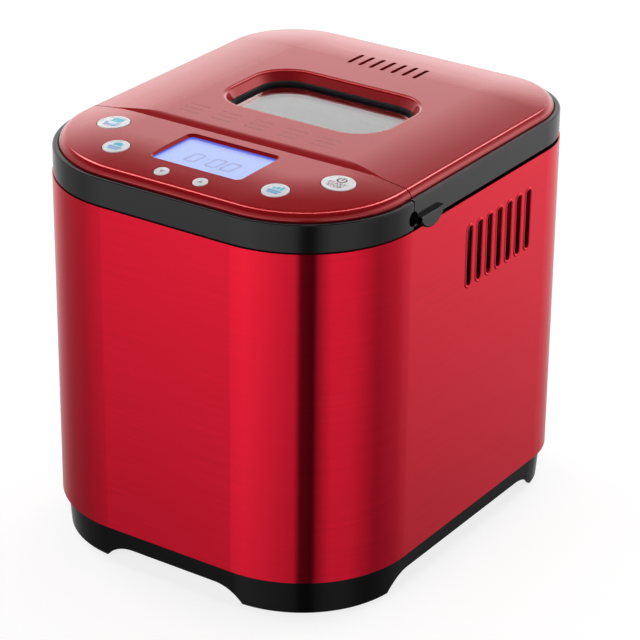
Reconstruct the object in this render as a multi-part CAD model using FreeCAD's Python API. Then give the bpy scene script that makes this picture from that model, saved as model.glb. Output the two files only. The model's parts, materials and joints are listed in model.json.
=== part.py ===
import FreeCAD, Part
import math
import os

# Bread machine: housing, lid, controls, baking chamber, pan and belt drive.
# Millimetres, +Z up, front towards -Y, origin on the table under the middle of the body.

V = FreeCAD.Vector

# Body outline and main levels
body_width = 262.5
body_depth = 306.5
front_corner_r = 81.0
rear_corner_r = 57.5
base_top = 26.5
housing_height = 231.0
band_height = 19.5
crown_height = 9.5
panel_depth = 87.0

# Clearances
running_gap = 0.05
slip_gap = 0.3
seam_gap = 0.8
overrun = 1.0

# Sheet-metal housing and its vents
housing_sheet = 0.9
vent_count = 7
vent_pitch = 12.3
vent_length = 41.5
vent_width = 5.2
vent_top_drop = 20.5
vent_shift_y = 34.6

# Base tray
base_inset_top = 3.5
base_inset_bottom = 5.5
base_wall = 2.5
base_floor = 2.5
base_floor_rise = 1.5
spigot_height = 11.5
spigot_seat = 2.5
arch_height = 11.5
arch_radius = 28.0
front_arch_half = 56.5
side_arch_half = 92.5
side_arch_shift = 10.0
foot_lift = 1.2
foot_pad_r = 9.0
foot_pad_height = 4.0
foot_boss_wall = 2.5
foot_margin = 2.0
floor_slot_count = 5
floor_slot_pitch = 9.0
floor_slot_width = 4.0
floor_slot_length = 46.0
gland_x = 60.0
gland_rise = 4.5
gland_r = 4.4
gland_bore_r = 3.5
gland_lip = 1.6
gland_proud = 2.6

# Bands and the red tops
band_inset = 0.6
band_wall = 3.4
band_lift = 0.5
band_edge_r = 1.2
band_foot_r = 0.6
band_seam_shift = -2.8
panel_gap = 0.8
crown_drop = 9.6
crown_edge_r = 6.0
crown_core_r = 1.7
shell_wall = 2.2
top_skin = 4.2
rim_width = 14.0
rim_drop = 3.3
seam_round = 1.2
seam_roll = 9.5
seam_drop = 2.6
panel_round = 1.0

# Top frame
deck_drop = 4.0
deck_thickness = 3.5
rim_depth = 8.0
ledge_width = 4.5
ledge_thickness = 3.0
ledge_drop = 5.5
cross_wall = 3.0
front_duct_margin = 12.0

# Display and buttons
lcd_side_space = 95.25
lcd_length = 46.7
lcd_corner_r = 5.0
lcd_bevel = 1.6
lcd_depth = 2.0
lcd_setback = 32.6
lens_thickness = 0.8
lens_margin = 2.0
main_button_r = 10.8
main_button_inset = 43.3
main_button_setback = 23.4
side_button_r = 8.85
side_button_inset = 69.3
side_button_setback = 54.2
small_button_r = 4.95
small_button_x = 15.0
small_button_setback = 68.1
button_gap = 0.5
button_proud = 0.4
button_travel = 1.0
button_flange = 1.2
button_stem_r = 2.5
switch_size = 6.0
switch_height = 4.3
switch_cap = 1.0
board_thickness = 1.6
control_board_inset = 13.0
control_board_setback = 8.0
control_board_drop = 10.6
board_boss_r = 3.5

# Screws
screw_r = 1.9
screw_head_r = 3.6
screw_head = 2.4
screw_bite = 11.0

# Lid
lid_gap = 2.0
lid_band_rise = 0.5
lid_plate_thickness = 2.0
lid_plate_drop = 3.9
cover_skirt_drop = 3.2
window_width = 131.0
window_length = 82.0
window_corner_r = 28.0
window_setback = 87.7
window_edge_r = 3.0
window_depth = 6.8
window_run = 3.5
gasket_step = 2.0
gasket_cover = 4.0
glass_thickness = 4.0
glass_lap = 5.0
steam_count = 7
steam_pitch = 8.8
steam_width = 3.0
steam_length = 19.3
steam_setback = 51.9
liner_sheet = 0.8
liner_drop = 11.0
liner_inset = 3.0
liner_flange = 6.0
lid_boss_r = 4.5
lid_boss_spread = 22.5
tab_length = 29.0
tab_depth = 10.0
tab_proud = 3.6
tab_rise = 8.1
tab_setback = 13.6
tab_edge_r = 1.0
scoop_r = 5.0
scoop_depth = 2.4

# Hinge
hinge_rise = 10.1
hinge_margin = 9.5
hinge_x = 48.0
pin_r = 1.75
barrel_r = 4.0
ear_thickness = 4.0
knuckle_length = 8.0
hinge_relief = 1.0

# Baking chamber
chamber_side_space = 29.0
chamber_rear_space = 31.5
chamber_front_space = 16.5
chamber_corner_r = 30.0
chamber_sheet = 0.8
chamber_flange = 8.0
chamber_floor = 52.0

# Chassis and drive
chassis_bottom = 38.0
chassis_thickness = 1.5
chassis_inset = 22.0
post_r = 5.0
post_side_inset = 46.0
post_front_inset = 55.5
post_rear_inset = 45.5
spacer_r = 5.0
spacer_bore_r = 2.2
shaft_r = 4.0
shaft_clear = 2.0
bush_r = 7.0
bush_length = 6.5
bearing_r = 11.0
bearing_flange_r = 26.0
bearing_flange = 3.0
bearing_top_rise = 4.0
pulley_width = 12.0
pulley_bottom = 21.0
belt_pitch = 5.0
belt_width = 9.0
belt_thickness = 2.2
drive_teeth = 66
motor_teeth = 12
tooth_depth = 1.6
tip_share = 0.5
root_share = 0.3
pulley_rim = 4.0
pulley_hub_r = 10.0
pulley_web = 3.0
spoke_count = 6
nut_height = 2.5
nut_across = 13.0

# Motor
motor_x = 30.0
motor_front_space = 47.5
motor_shaft_r = 3.0
stack_side = 64.0
stack_height = 35.0
stack_bore_r = 18.0
stack_corner_r = 8.0
air_gap = 0.6
winding_r = 28.0
winding_height = 11.0
bell_plate = 3.0
bell_post_r = 4.5
bell_boss_r = 9.0
bell_boss = 3.5
fan_r = 26.0
fan_height = 8.0
fan_blades = 8
fan_blade = 1.6
capacitor_size = (40.0, 18.0, 30.0)
capacitor_front_space = 20.0

# Pan, paddle and couplings
pan_side_gap = 14.0
pan_end_gap = 17.0
pan_corner_r = 22.0
pan_taper = 5.0
pan_foot_taper = 5.0
pan_foot_rise = 6.0
pan_wall = 1.5
pan_height = 126.0
pan_rim = 4.0
pan_rim_thickness = 2.0
pan_floor_rise = 20.5
ring_r = 42.0
ring_wall = 4.0
ring_drop = 11.5
seat_gap = 1.0
seat_wall = 3.0
seat_height = 10.0
seat_flange = 8.0
seat_sheet = 1.5
dog_r = 15.0
dog_width = 7.0
dog_height = 7.0
dog_inner_r = 9.0
wing_hub_wall = 2.0
coupling_disc = 6.5
spindle_bush_r = 8.0
spindle_bush_height = 13.0
spindle_collar_r = 12.0
spindle_collar = 3.0
spindle_length = 31.0
spindle_flat = 1.0
paddle_hub_r = 8.0
paddle_hub_height = 21.0
paddle_reach = 45.0
paddle_blade = 5.0
paddle_blade_height = 30.0
paddle_tip_inset = 9.0
handle_wire_r = 2.2
handle_rear_gap = 16.0
handle_corner_r = 14.0
handle_drop = 8.5
handle_rim_gap = 1.3
eyelet_r = 5.5
eyelet_width = 5.6
stub_r = 2.5
ear_plate = 2.8
ear_width = 18.0
ear_height = 16.0

# Heater and probe
element_r = 3.3
element_gap = 8.0
element_rise = 9.2
element_leg_x = 20.0
element_leg_bend = 6.0
element_leg_reach = 14.0
terminal_r = 6.0
terminal_length = 8.0
clip_width = 8.0
clip_length = 12.0
probe_r = 2.5
probe_x = 50.0
probe_rise = 48.0
probe_reach = 6.0
probe_flange_r = 8.0
probe_flange = 2.0

# Heat shield and power board
shield_sheet = 0.8
shield_space = 20.0
shield_half = 95.0
shield_top_gap = 8.5
shield_foot = 10.0
board_boss = 4.2
power_board_size = (74.0, 90.0)
power_board_x = -51.0
power_board_rise = 20.5
transformer_size = (35.0, 29.0, 35.0)

# Levels and places worked out from the sizes above
half_width = body_width / 2
half_depth = body_depth / 2
housing_top = base_top + housing_height
band_top = housing_top + band_height
crown_top = band_top + crown_height
seam_y = -half_depth + panel_depth
band_seam_y = seam_y + band_seam_shift
band_inner = band_inset + band_wall
panel_inset = band_inner + panel_gap
frame_inset = housing_sheet + slip_gap
crown_roll = rear_corner_r - panel_inset - crown_core_r
ceiling = crown_top - top_skin
rim_ceiling = ceiling - rim_drop
deck_top = housing_top - deck_drop
floor_bottom = arch_height + base_floor_rise
floor_top = floor_bottom + base_floor
lid_bottom = housing_top + lid_gap
lid_band_top = band_top + lid_band_rise
lid_plate_top = band_top - lid_plate_drop
lid_plate_bottom = lid_plate_top - lid_plate_thickness
cover_skirt = band_top - cover_skirt_drop
lid_front = seam_y + seam_gap / 2
window_y = seam_y + window_setback
window_bottom = crown_top - window_depth
glass_bottom = lid_plate_top + slip_gap
glass_top = glass_bottom + glass_thickness
liner_bottom = lid_plate_bottom - liner_drop
hinge_y = half_depth - hinge_margin
hinge_z = housing_top + hinge_rise
tab_top = housing_top + tab_rise
tab_y = seam_y + tab_setback
chamber_width = body_width - 2 * chamber_side_space
chamber_front = seam_y + chamber_front_space
chamber_rear = half_depth - chamber_rear_space
chamber_length = chamber_rear - chamber_front
chamber_y = (chamber_front + chamber_rear) / 2
chamber_floor_top = chamber_floor + chamber_sheet
chassis_top = chassis_bottom + chassis_thickness
pulley_top = pulley_bottom + pulley_width
bearing_top = chamber_floor_top + bearing_top_rise
bearing_bottom = pulley_top + 2 * slip_gap
coupling_bottom = bearing_top + 2 * slip_gap
coupling_top = coupling_bottom + coupling_disc
pan_bottom = chamber_floor + pan_floor_rise
pan_top = pan_bottom + pan_height
pan_width = chamber_width - 2 * pan_side_gap
pan_length = chamber_length - 2 * pan_end_gap
pan_floor_top = pan_bottom + pan_wall
wing_bottom = coupling_top + 2 * slip_gap
wing_top = wing_bottom + dog_height
spindle_top = pan_floor_top + spindle_length
paddle_bottom = pan_bottom + spindle_bush_height + 2 * slip_gap
handle_z = pan_top - handle_drop
handle_x = pan_width / 2 + pan_rim + eyelet_width / 2 + slip_gap
handle_reach = chamber_length / 2 - handle_rear_gap
handle_lean = math.degrees(math.asin((handle_drop + handle_wire_r + handle_rim_gap) / handle_reach))
motor_y = -half_depth + motor_front_space
stack_bottom = chassis_top + bell_plate + bell_boss + winding_height
stack_top = stack_bottom + stack_height
bell_top = stack_top + winding_height + 2 * slip_gap
shaft_bottom = floor_top + shaft_clear
fan_bottom = bell_top + bell_plate + bell_boss + 2 * slip_gap
shield_y = chamber_front - shield_space
shield_top = deck_top - deck_thickness - shield_top_gap
ledge_top = band_top - ledge_drop
control_board_top = ceiling - control_board_drop
control_board_bottom = control_board_top - board_thickness
element_z = chamber_floor_top + element_rise
lcd_y = seam_y - lcd_setback
lcd_width = body_width - 2 * lcd_side_space
main_button_x = half_width - main_button_inset
side_button_x = half_width - side_button_inset
FAR = 4 * (body_width + body_depth)


def line(a, b):
    """Straight edge between two points."""
    return Part.LineSegment(V(*a), V(*b)).toShape()


def arc(a, middle, b):
    """Circular edge through three points."""
    return Part.Arc(V(*a), V(*middle), V(*b)).toShape()


def polar(centre_x, centre_y, r, degrees, z):
    """Point on a level circle."""
    angle = math.radians(degrees)
    return (centre_x + r * math.cos(angle), centre_y + r * math.sin(angle), z)


def rounded_loop(x0, x1, y0, y1, r_front, r_rear, z):
    """Level rounded rectangle, run anticlockwise from its front edge."""
    corners = [
        (x1 - r_front, y0 + r_front, r_front, -90),
        (x1 - r_rear, y1 - r_rear, r_rear, 0),
        (x0 + r_rear, y1 - r_rear, r_rear, 90),
        (x0 + r_front, y0 + r_front, r_front, 180),
    ]
    edges = []
    last = polar(*corners[-1][:3], corners[-1][3] + 90, z)
    for centre_x, centre_y, r, start in corners:
        first = polar(centre_x, centre_y, r, start, z)
        middle = polar(centre_x, centre_y, r, start + 45, z)
        end = polar(centre_x, centre_y, r, start + 90, z)
        edges.append(line(last, first))
        edges.append(arc(first, middle, end))
        last = end
    return Part.Wire(edges)


def centred_loop(y, width, length, r, z):
    """Rounded rectangle on the machine's middle plane."""
    return rounded_loop(-width / 2, width / 2, y - length / 2, y + length / 2, r, r, z)


def body_loop(inset, z):
    """The body's outline, moved inwards."""
    return rounded_loop(
        -half_width + inset, half_width - inset, -half_depth + inset, half_depth - inset,
        front_corner_r - inset, rear_corner_r - inset, z)


def raised(loop, height):
    """Upright prism on a closed loop."""
    return Part.Face(loop).extrude(V(0, 0, height))


def body_slab(inset, z0, z1):
    """Prism of the body's outline."""
    return raised(body_loop(inset, z0), z1 - z0)


def body_ring(outer, inner, z0, z1):
    """Upright wall that follows the body's outline."""
    return body_slab(outer, z0, z1).cut(body_slab(inner, z0, z1))


def rounded_wall(outer, inner, z0, z1, top_r, foot_r):
    """Upright wall along the body's outline, its outer edges rounded above and below."""
    x = -half_width + front_corner_r
    y0 = -half_depth + outer
    y1 = -half_depth + inner

    def edge(r, z, degrees):
        angle = math.radians(degrees)
        return (x, y0 + r + r * math.cos(angle), z + r * math.sin(angle))

    top = z1 - top_r
    foot = z0 + foot_r
    profile = Part.Wire([
        line(edge(foot_r, foot, 180), edge(top_r, top, 180)),
        arc(edge(top_r, top, 180), edge(top_r, top, 135), edge(top_r, top, 90)),
        line(edge(top_r, top, 90), (x, y1, z1)),
        line((x, y1, z1), (x, y1, z0)),
        line((x, y1, z0), edge(foot_r, foot, 270)),
        arc(edge(foot_r, foot, 270), edge(foot_r, foot, 225), edge(foot_r, foot, 180)),
    ])
    return body_loop(outer, z0).makePipeShell([profile], True, False)


def plate(y, width, length, r, z0, z1):
    """Rounded plate on the middle plane."""
    return raised(centred_loop(y, width, length, r, z0), z1 - z0)


def tapered(loops):
    """Straight-sided solid through level loops."""
    return Part.makeLoft(loops, True, True)


def block(x0, x1, y0, y1, z0, z1):
    """Box between two corners."""
    return Part.makeBox(x1 - x0, y1 - y0, z1 - z0, V(x0, y0, z0))


def rod(x, y, z0, z1, r):
    """Upright cylinder."""
    return Part.makeCylinder(r, z1 - z0, V(x, y, z0))


def rod_x(x0, x1, y, z, r):
    """Cylinder along X."""
    return Part.makeCylinder(r, x1 - x0, V(x0, y, z), V(1, 0, 0))


def rod_y(x, y0, y1, z, r):
    """Cylinder along Y."""
    return Part.makeCylinder(r, y1 - y0, V(x, y0, z), V(0, 1, 0))


def tube(x, y, z0, z1, r_outer, r_inner):
    """Upright tube."""
    return rod(x, y, z0, z1, r_outer).cut(rod(x, y, z0, z1, r_inner))


def joined(shapes):
    """One clean solid from overlapping ones."""
    return shapes[0].fuse(shapes[1:]).removeSplitter()


def before(shape, y):
    """The part of a shape in front of a plane."""
    return shape.common(block(-FAR, FAR, -FAR, y, -FAR, FAR))


def behind(shape, y):
    """The part of a shape behind a plane."""
    return shape.common(block(-FAR, FAR, y, FAR, -FAR, FAR))


def mirrored(shape):
    """The same shape on the machine's other side."""
    return shape.mirror(V(0, 0, 0), V(1, 0, 0))


def slot_y(x, y, length, width, z0, z1):
    """Round-ended upright cutter, long in Y."""
    r = width / 2
    straight = length / 2 - r
    bar = block(x - r, x + r, y - straight, y + straight, z0, z1)
    return joined([bar, rod(x, y - straight, z0, z1, r), rod(x, y + straight, z0, z1, r)])


def screw(x, y, seat, bite, down):
    """Pan-head screw whose head sits on a face at seat, shank going down or up."""
    head_end = seat + screw_head if down else seat - screw_head
    tip = seat - bite if down else seat + bite
    head = rod(x, y, min(seat, head_end), max(seat, head_end), screw_head_r)
    shank = rod(x, y, min(seat, tip), max(seat, tip), screw_r)
    return joined([head, shank])


def rolled_edge(reach, drop, r, spot):
    """Rounded edge and the long roll behind it, placed by spot(distance inwards, height)."""
    run = reach - r
    roll_r = (run ** 2 + drop ** 2 - r ** 2) / (2 * (drop - r))
    lean = math.atan2(roll_r - drop, -run)

    def edge_point(angle):
        return spot(r + r * math.cos(angle), -drop + r * math.sin(angle))

    def roll_point(angle):
        return spot(reach + roll_r * math.cos(angle), -roll_r + roll_r * math.sin(angle))

    flat = math.pi / 2
    return [
        arc(edge_point(math.pi), edge_point((math.pi + lean) / 2), edge_point(lean)),
        arc(edge_point(lean), roll_point((flat + lean) / 2), roll_point(flat)),
    ]


def crown(low):
    """Solid under the red top: upright wall, rounded edge, long roll up to a flat middle."""
    def spot(inwards, height):
        return (-half_width + front_corner_r, -half_depth + panel_inset + inwards, crown_top + height)

    foot = low - crown_top
    profile = Part.Wire(
        [line(spot(0, foot), spot(0, -crown_drop))]
        + rolled_edge(crown_roll, crown_drop, crown_edge_r, spot)
        + [line(spot(crown_roll, 0), spot(crown_roll, foot)), line(spot(crown_roll, foot), spot(0, foot))])
    border = body_loop(panel_inset, low).makePipeShell([profile], True, False)
    return joined([border, body_slab(panel_inset + crown_roll, low, crown_top)])


def crown_hollow():
    """Space under the red tops, lower along their rolled edge."""
    rim = body_slab(panel_inset + shell_wall, 0, rim_ceiling)
    return joined([rim, body_slab(panel_inset + rim_width, 0, ceiling)])


def arch_cutter(half, shift):
    """Flat-topped arch with round shoulders, drawn in XZ and long in Y."""
    run = math.sqrt(arch_radius ** 2 - (arch_radius - arch_height) ** 2)
    knee = math.degrees(math.atan2(arch_radius - arch_height, run))

    def shoulder(side, degrees):
        angle = math.radians(degrees)
        return (
            shift + side * (half - run + arch_radius * math.cos(angle)), -FAR / 2,
            arch_height - arch_radius + arch_radius * math.sin(angle))

    middle = (knee + 90) / 2
    low_left = (shift - half, -FAR / 2, -arch_height)
    low_right = (shift + half, -FAR / 2, -arch_height)
    outline = Part.Wire([
        line(low_left, shoulder(-1, knee)),
        arc(shoulder(-1, knee), shoulder(-1, middle), shoulder(-1, 90)),
        line(shoulder(-1, 90), shoulder(1, 90)),
        arc(shoulder(1, 90), shoulder(1, middle), shoulder(1, knee)),
        line(shoulder(1, knee), low_right),
        line(low_right, low_left),
    ])
    return Part.Face(outline).extrude(V(0, FAR, 0))


def foot_places():
    """Middles of the four feet, clear of the arches."""
    reach = foot_pad_r + foot_boss_wall + foot_margin
    x = front_arch_half + reach
    front = side_arch_shift - side_arch_half - reach
    rear = side_arch_shift + side_arch_half + reach
    return [(-x, front), (x, front), (x, rear), (-x, rear)]


def post_places():
    """Middles of the four posts that carry the chassis."""
    x = half_width - post_side_inset
    front = -half_depth + post_front_inset
    rear = half_depth - post_rear_inset
    return [(-x, front), (x, front), (x, rear), (-x, rear)]


def lid_boss_places():
    """Middles of the four screw bosses under the lid's cover, beside the liner."""
    side = half_width - (chamber_side_space + panel_inset) / 2
    front = chamber_front + liner_inset
    rear_x = half_width - rear_corner_r + lid_boss_spread
    rear = half_depth - panel_inset - shell_wall - 3 * lid_boss_r
    return [(-side, front), (side, front), (rear_x, rear), (-rear_x, rear)]


def board_boss_places():
    """Middles of the bosses that carry the control board, beside the display."""
    x = lcd_width / 2 + lens_margin + 2 * board_boss_r
    rear = seam_y - control_board_setback - 2 * board_boss_r
    front = lcd_y - lcd_length / 2 - lens_margin
    return [(-x, rear), (x, rear), (x - 2 * board_boss_r, front), (-x + 2 * board_boss_r, front)]


def button_places():
    """Name, middle and radius of each button."""
    main_y = seam_y - main_button_setback
    side_y = seam_y - side_button_setback
    small_y = seam_y - small_button_setback
    return [
        ("menu_button", -main_button_x, main_y, main_button_r),
        ("start_stop_button", main_button_x, main_y, main_button_r),
        ("loaf_button", -side_button_x, side_y, side_button_r),
        ("crust_button", side_button_x, side_y, side_button_r),
        ("time_down_button", -small_button_x, small_y, small_button_r),
        ("time_up_button", small_button_x, small_y, small_button_r),
    ]


def housing_sleeve():
    """Wrapped sheet with a row of upright slots near the top of both sides."""
    shell = body_ring(0, housing_sheet, base_top, housing_top)
    middle = housing_top - vent_top_drop - vent_length / 2
    for index in range(vent_count):
        y = vent_shift_y + (index - (vent_count - 1) / 2) * vent_pitch
        upright = slot_y(0, 0, vent_length, vent_width, -FAR / 2, FAR / 2)
        upright.rotate(V(0, 0, 0), V(0, 0, 1), 90)
        upright.rotate(V(0, 0, 0), V(0, 1, 0), 90)
        upright.translate(V(0, y, middle))
        shell = shell.cut(upright)
    return shell


def base_tray():
    """Skirt with arched sides, floor, spigot inside the housing, foot bosses and posts."""
    skirt = tapered([body_loop(base_inset_bottom, foot_lift), body_loop(base_inset_top, base_top)])
    inner = base_inset_bottom + base_wall
    skirt = skirt.cut(body_slab(inner, -FAR, floor_bottom))
    skirt = skirt.cut(body_slab(inner, floor_top, base_top + spigot_height))
    skirt = skirt.cut(arch_cutter(front_arch_half, 0))
    side_arch = arch_cutter(side_arch_half, side_arch_shift)
    side_arch.rotate(V(0, 0, 0), V(0, 0, 1), 90)
    skirt = skirt.cut(side_arch)
    pieces = [
        skirt,
        body_ring(frame_inset, inner, base_top, base_top + spigot_seat),
        body_ring(frame_inset, frame_inset + base_wall, base_top, base_top + spigot_height),
    ]
    for x, y in foot_places():
        pieces.append(rod(x, y, foot_lift, floor_bottom, foot_pad_r + foot_boss_wall))
    for x, y in post_places():
        pieces.append(rod(x, y, floor_bottom, chassis_bottom, post_r))
    tray = joined(pieces)
    for x, y in foot_places():
        tray = tray.cut(rod(x, y, 0, foot_pad_height, foot_pad_r))
    for x, y in post_places():
        tray = tray.cut(rod(x, y, chassis_top - screw_bite, chassis_top, screw_r))
    for index in range(floor_slot_count):
        x = motor_x + (index - (floor_slot_count - 1) / 2) * floor_slot_pitch
        tray = tray.cut(slot_y(x, motor_y, floor_slot_length, floor_slot_width, 0, floor_top + overrun))
    return tray.cut(rod_y(gland_x, half_depth - 2 * inner, FAR, floor_top + gland_rise, gland_r))


def cord_gland():
    """Flanged bush for the mains lead, in the base's rear wall."""
    z = floor_top + gland_rise
    inner = half_depth - base_inset_bottom - base_wall - gland_proud
    face = half_depth - base_inset_top
    body = rod_y(gland_x, inner, face + gland_proud, z, gland_r)
    lip = rod_y(gland_x, face, face + gland_proud, z, gland_r + gland_lip)
    return joined([body, lip]).cut(rod_y(gland_x, -FAR, FAR, z, gland_bore_r))


def rubber_feet():
    """Four round pads."""
    return [rod(x, y, 0, foot_pad_height, foot_pad_r) for x, y in foot_places()]


def chassis_plate():
    """Steel plate on the base's posts, carrying the motor and the bearing."""
    sheet = body_slab(chassis_inset, chassis_bottom, chassis_top)
    sheet = sheet.cut(rod(0, chamber_y, 0, FAR, bearing_r + slip_gap))
    sheet = sheet.cut(rod(motor_x, motor_y, 0, FAR, bell_boss_r))
    for x, y in post_places():
        sheet = sheet.cut(rod(x, y, 0, FAR, screw_r + slip_gap))
    return sheet


def chassis_screws():
    """Four screws through the chassis into the posts."""
    return [screw(x, y, chassis_top, screw_bite, True) for x, y in post_places()]


def top_frame():
    """Deck around the chamber's mouth, rim in the housing, front band, panel ledge, hinge ears."""
    deck = body_slab(frame_inset, deck_top - deck_thickness, deck_top)
    mouth = 2 * (chamber_sheet + slip_gap)
    deck = deck.cut(plate(
        chamber_y, chamber_width + mouth, chamber_length + mouth, chamber_corner_r + mouth / 2, 0, FAR))
    duct = body_slab(front_duct_margin, 0, FAR)
    wall_front = seam_y - seam_gap / 2 - slip_gap - cross_wall
    wall_rear = wall_front + cross_wall
    deck = deck.cut(before(duct, wall_front - cross_wall))
    rim = body_ring(frame_inset, band_inner, deck_top - rim_depth, housing_top - slip_gap)
    relief_x = half_width - rear_corner_r / 2
    rim = rim.cut(block(-relief_x, relief_x, hinge_y - 2 * barrel_r, FAR, deck_top, FAR))
    fixed_end = band_seam_y - seam_gap / 2
    band = rounded_wall(
        band_inset, band_inner, housing_top + band_lift, band_top, band_edge_r, band_foot_r)
    band = before(band, fixed_end)
    neck = before(body_ring(frame_inset, band_inner, deck_top, housing_top + 2 * band_lift), fixed_end)
    ledge_inner = band_inner + ledge_width
    ledge = body_ring(band_inner - band_lift, ledge_inner, ledge_top - ledge_thickness, ledge_top)
    ledge = before(ledge, fixed_end)
    across = block(-FAR, FAR, wall_front, wall_rear, deck_top - deck_thickness, ledge_top)
    across = across.common(body_slab(panel_inset, 0, FAR))
    upper = block(-FAR, FAR, wall_front, wall_rear, ledge_top, ceiling - slip_gap)
    upper = upper.common(body_slab(panel_inset + rim_width + slip_gap, 0, FAR))
    pieces = [deck, rim, band, neck, ledge, across, upper]
    for x0 in ear_starts():
        ear = rod_x(x0, x0 + ear_thickness, hinge_y, hinge_z, barrel_r)
        web = block(x0, x0 + ear_thickness, hinge_y - barrel_r, hinge_y, deck_top - deck_thickness, hinge_z)
        pieces += [ear, web]
    frame = joined(pieces)
    for x in (-hinge_x, hinge_x):
        frame = frame.cut(hinge_bore(x, pin_r))
    return cut_scoops(frame)


def ear_starts():
    """Left ends of the four hinge ears, a pair beside each knuckle."""
    starts = []
    for side in (-hinge_x, hinge_x):
        starts.append(side - knuckle_length / 2 - slip_gap - ear_thickness)
        starts.append(side + knuckle_length / 2 + slip_gap)
    return starts


def hinge_bore(x, r):
    """Cylinder on the hinge's axis, as long as one pair of ears."""
    reach = knuckle_length / 2 + slip_gap + ear_thickness
    return rod_x(x - reach, x + reach, hinge_y, hinge_z, r)


def cut_scoops(shape):
    """Finger scoop across the band's seam, in front of each lift tab."""
    face = half_width - band_inset
    scoop = rod_x(face - scoop_depth, FAR, band_seam_y - seam_gap, tab_top, scoop_r)
    return shape.cut(scoop).cut(mirrored(scoop))


def hinge_pins():
    """Two pins, each held in a pair of ears."""
    return [hinge_bore(x, pin_r) for x in (-hinge_x, hinge_x)]


def control_panel():
    """Red panel in front of the lid, with display recess, button holes and board bosses."""
    rear = seam_y - seam_gap / 2
    skirt = ledge_top + slip_gap
    panel = before(crown(skirt), rear)
    corner = block(-FAR, FAR, rear - panel_round, FAR, crown_top - panel_round, FAR)
    corner = corner.cut(rod_x(-FAR, FAR, rear - panel_round, crown_top - panel_round, panel_round))
    panel = panel.cut(corner)
    panel = panel.cut(crown_hollow())
    bosses = []
    for name, x, y, r in button_places():
        bosses.append(rod(x, y, rim_ceiling, ceiling, r + button_gap + button_flange))
    for x, y in board_boss_places():
        bosses.append(rod(x, y, control_board_top + slip_gap, ceiling, board_boss_r))
    panel = joined([panel] + bosses)
    for x, y in board_boss_places():
        panel = panel.cut(rod(x, y, 0, ceiling, screw_r))
    lens_width = lcd_width + 2 * lens_margin
    lens_length = lcd_length + 2 * lens_margin
    panel = panel.cut(plate(lcd_y, lens_width, lens_length, lcd_corner_r, 0, crown_top - lcd_depth))
    panel = panel.cut(tapered([
        centred_loop(lcd_y, lcd_width - 2 * lcd_bevel, lcd_length - 2 * lcd_bevel, lcd_corner_r - lcd_bevel,
                     crown_top - lcd_depth),
        centred_loop(lcd_y, lcd_width, lcd_length, lcd_corner_r, crown_top),
    ]))
    for name, x, y, r in button_places():
        panel = panel.cut(rod(x, y, 0, FAR, r + button_gap))
    return panel


def lcd_lens():
    """Clear plate under the panel's display recess."""
    top = crown_top - lcd_depth - slip_gap / 3
    width = lcd_width + 2 * lens_margin - 2 * slip_gap
    length = lcd_length + 2 * lens_margin - 2 * slip_gap
    return plate(lcd_y, width, length, lcd_corner_r - slip_gap, top - lens_thickness, top)


def lcd_module():
    """Backlit display block between the board and the lens."""
    top = crown_top - lcd_depth - lens_thickness - slip_gap
    width = lcd_width + lens_margin
    length = lcd_length + lens_margin
    return plate(lcd_y, width, length, lcd_corner_r / 2, control_board_top, top)


def control_board():
    """Board that follows the panel's front."""
    board = body_slab(control_board_inset, control_board_bottom, control_board_top)
    board = before(board, seam_y - control_board_setback)
    for x, y in board_boss_places():
        board = board.cut(rod(x, y, 0, FAR, screw_r + slip_gap))
    return board


def board_screws():
    """Screws from below the board into the panel's bosses."""
    return [screw(x, y, control_board_bottom, screw_bite, False) for x, y in board_boss_places()]


def tact_switches():
    """One small switch under each button."""
    top = control_board_top + switch_height
    half = switch_size / 2
    switches = []
    for name, x, y, r in button_places():
        case = block(x - half, x + half, y - half, y + half, control_board_top, top - switch_cap)
        switches.append(joined([case, rod(x, y, top - 2 * switch_cap, top, switch_size / 4)]))
    return switches


def button(x, y, r):
    """Cap that follows the panel's top, retaining flange and stem."""
    flange_top = rim_ceiling - slip_gap
    flange_bottom = flange_top - button_flange
    top = crown(ledge_top)
    top.translate(V(0, 0, button_proud))
    cap = rod(x, y, flange_bottom, FAR, r).common(top)
    flange = rod(x, y, flange_bottom, flange_top, r + button_gap + button_flange)
    stem_bottom = control_board_top + switch_height + button_travel + slip_gap
    return joined([cap, flange, rod(x, y, stem_bottom, flange_top, button_stem_r)])


def window_cutter():
    """Funnel of the lid's window: rounded brim, then a wall that leans inwards."""
    x = -window_width / 2 + window_corner_r
    y = window_y - window_length / 2
    lean = math.atan2(window_run, window_depth)
    brim_drop = window_edge_r * (1 - math.sin(lean))
    brim_run = window_edge_r * math.cos(lean)
    brim_mid = (math.pi / 2 + lean) / 2
    top = (x, y, crown_top)

    def brim(angle):
        drop = window_edge_r * (1 - math.sin(angle))
        return (x, y + window_edge_r * math.cos(angle), crown_top - drop)

    foot_run = brim_run + (window_depth - brim_drop) * math.tan(lean)
    low = window_bottom - overrun
    high = crown_top + overrun
    foot = (x, y + foot_run, low)
    knee = (x, y + foot_run, window_bottom)
    inner_run = window_corner_r - 2 * overrun
    profile = Part.Wire([
        arc(top, brim(brim_mid), brim(lean)),
        line(brim(lean), knee),
        line(knee, foot),
        line(foot, (x, y + inner_run, low)),
        line((x, y + inner_run, low), (x, y + inner_run, high)),
        line((x, y + inner_run, high), (x, y, high)),
        line((x, y, high), top),
    ])
    border = centred_loop(window_y, window_width, window_length, window_corner_r, crown_top)
    ring = border.makePipeShell([profile], True, False)
    core = 2 * (inner_run - overrun)
    middle = plate(window_y, window_width - core, window_length - core, 3 * overrun, low, high)
    return joined([ring, middle])


def window_foot():
    """How far the window's funnel has drawn in at its foot."""
    lean = math.atan2(window_run, window_depth)
    brim_drop = window_edge_r * (1 - math.sin(lean))
    return window_edge_r * math.cos(lean) + (window_depth - brim_drop) * math.tan(lean)


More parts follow.
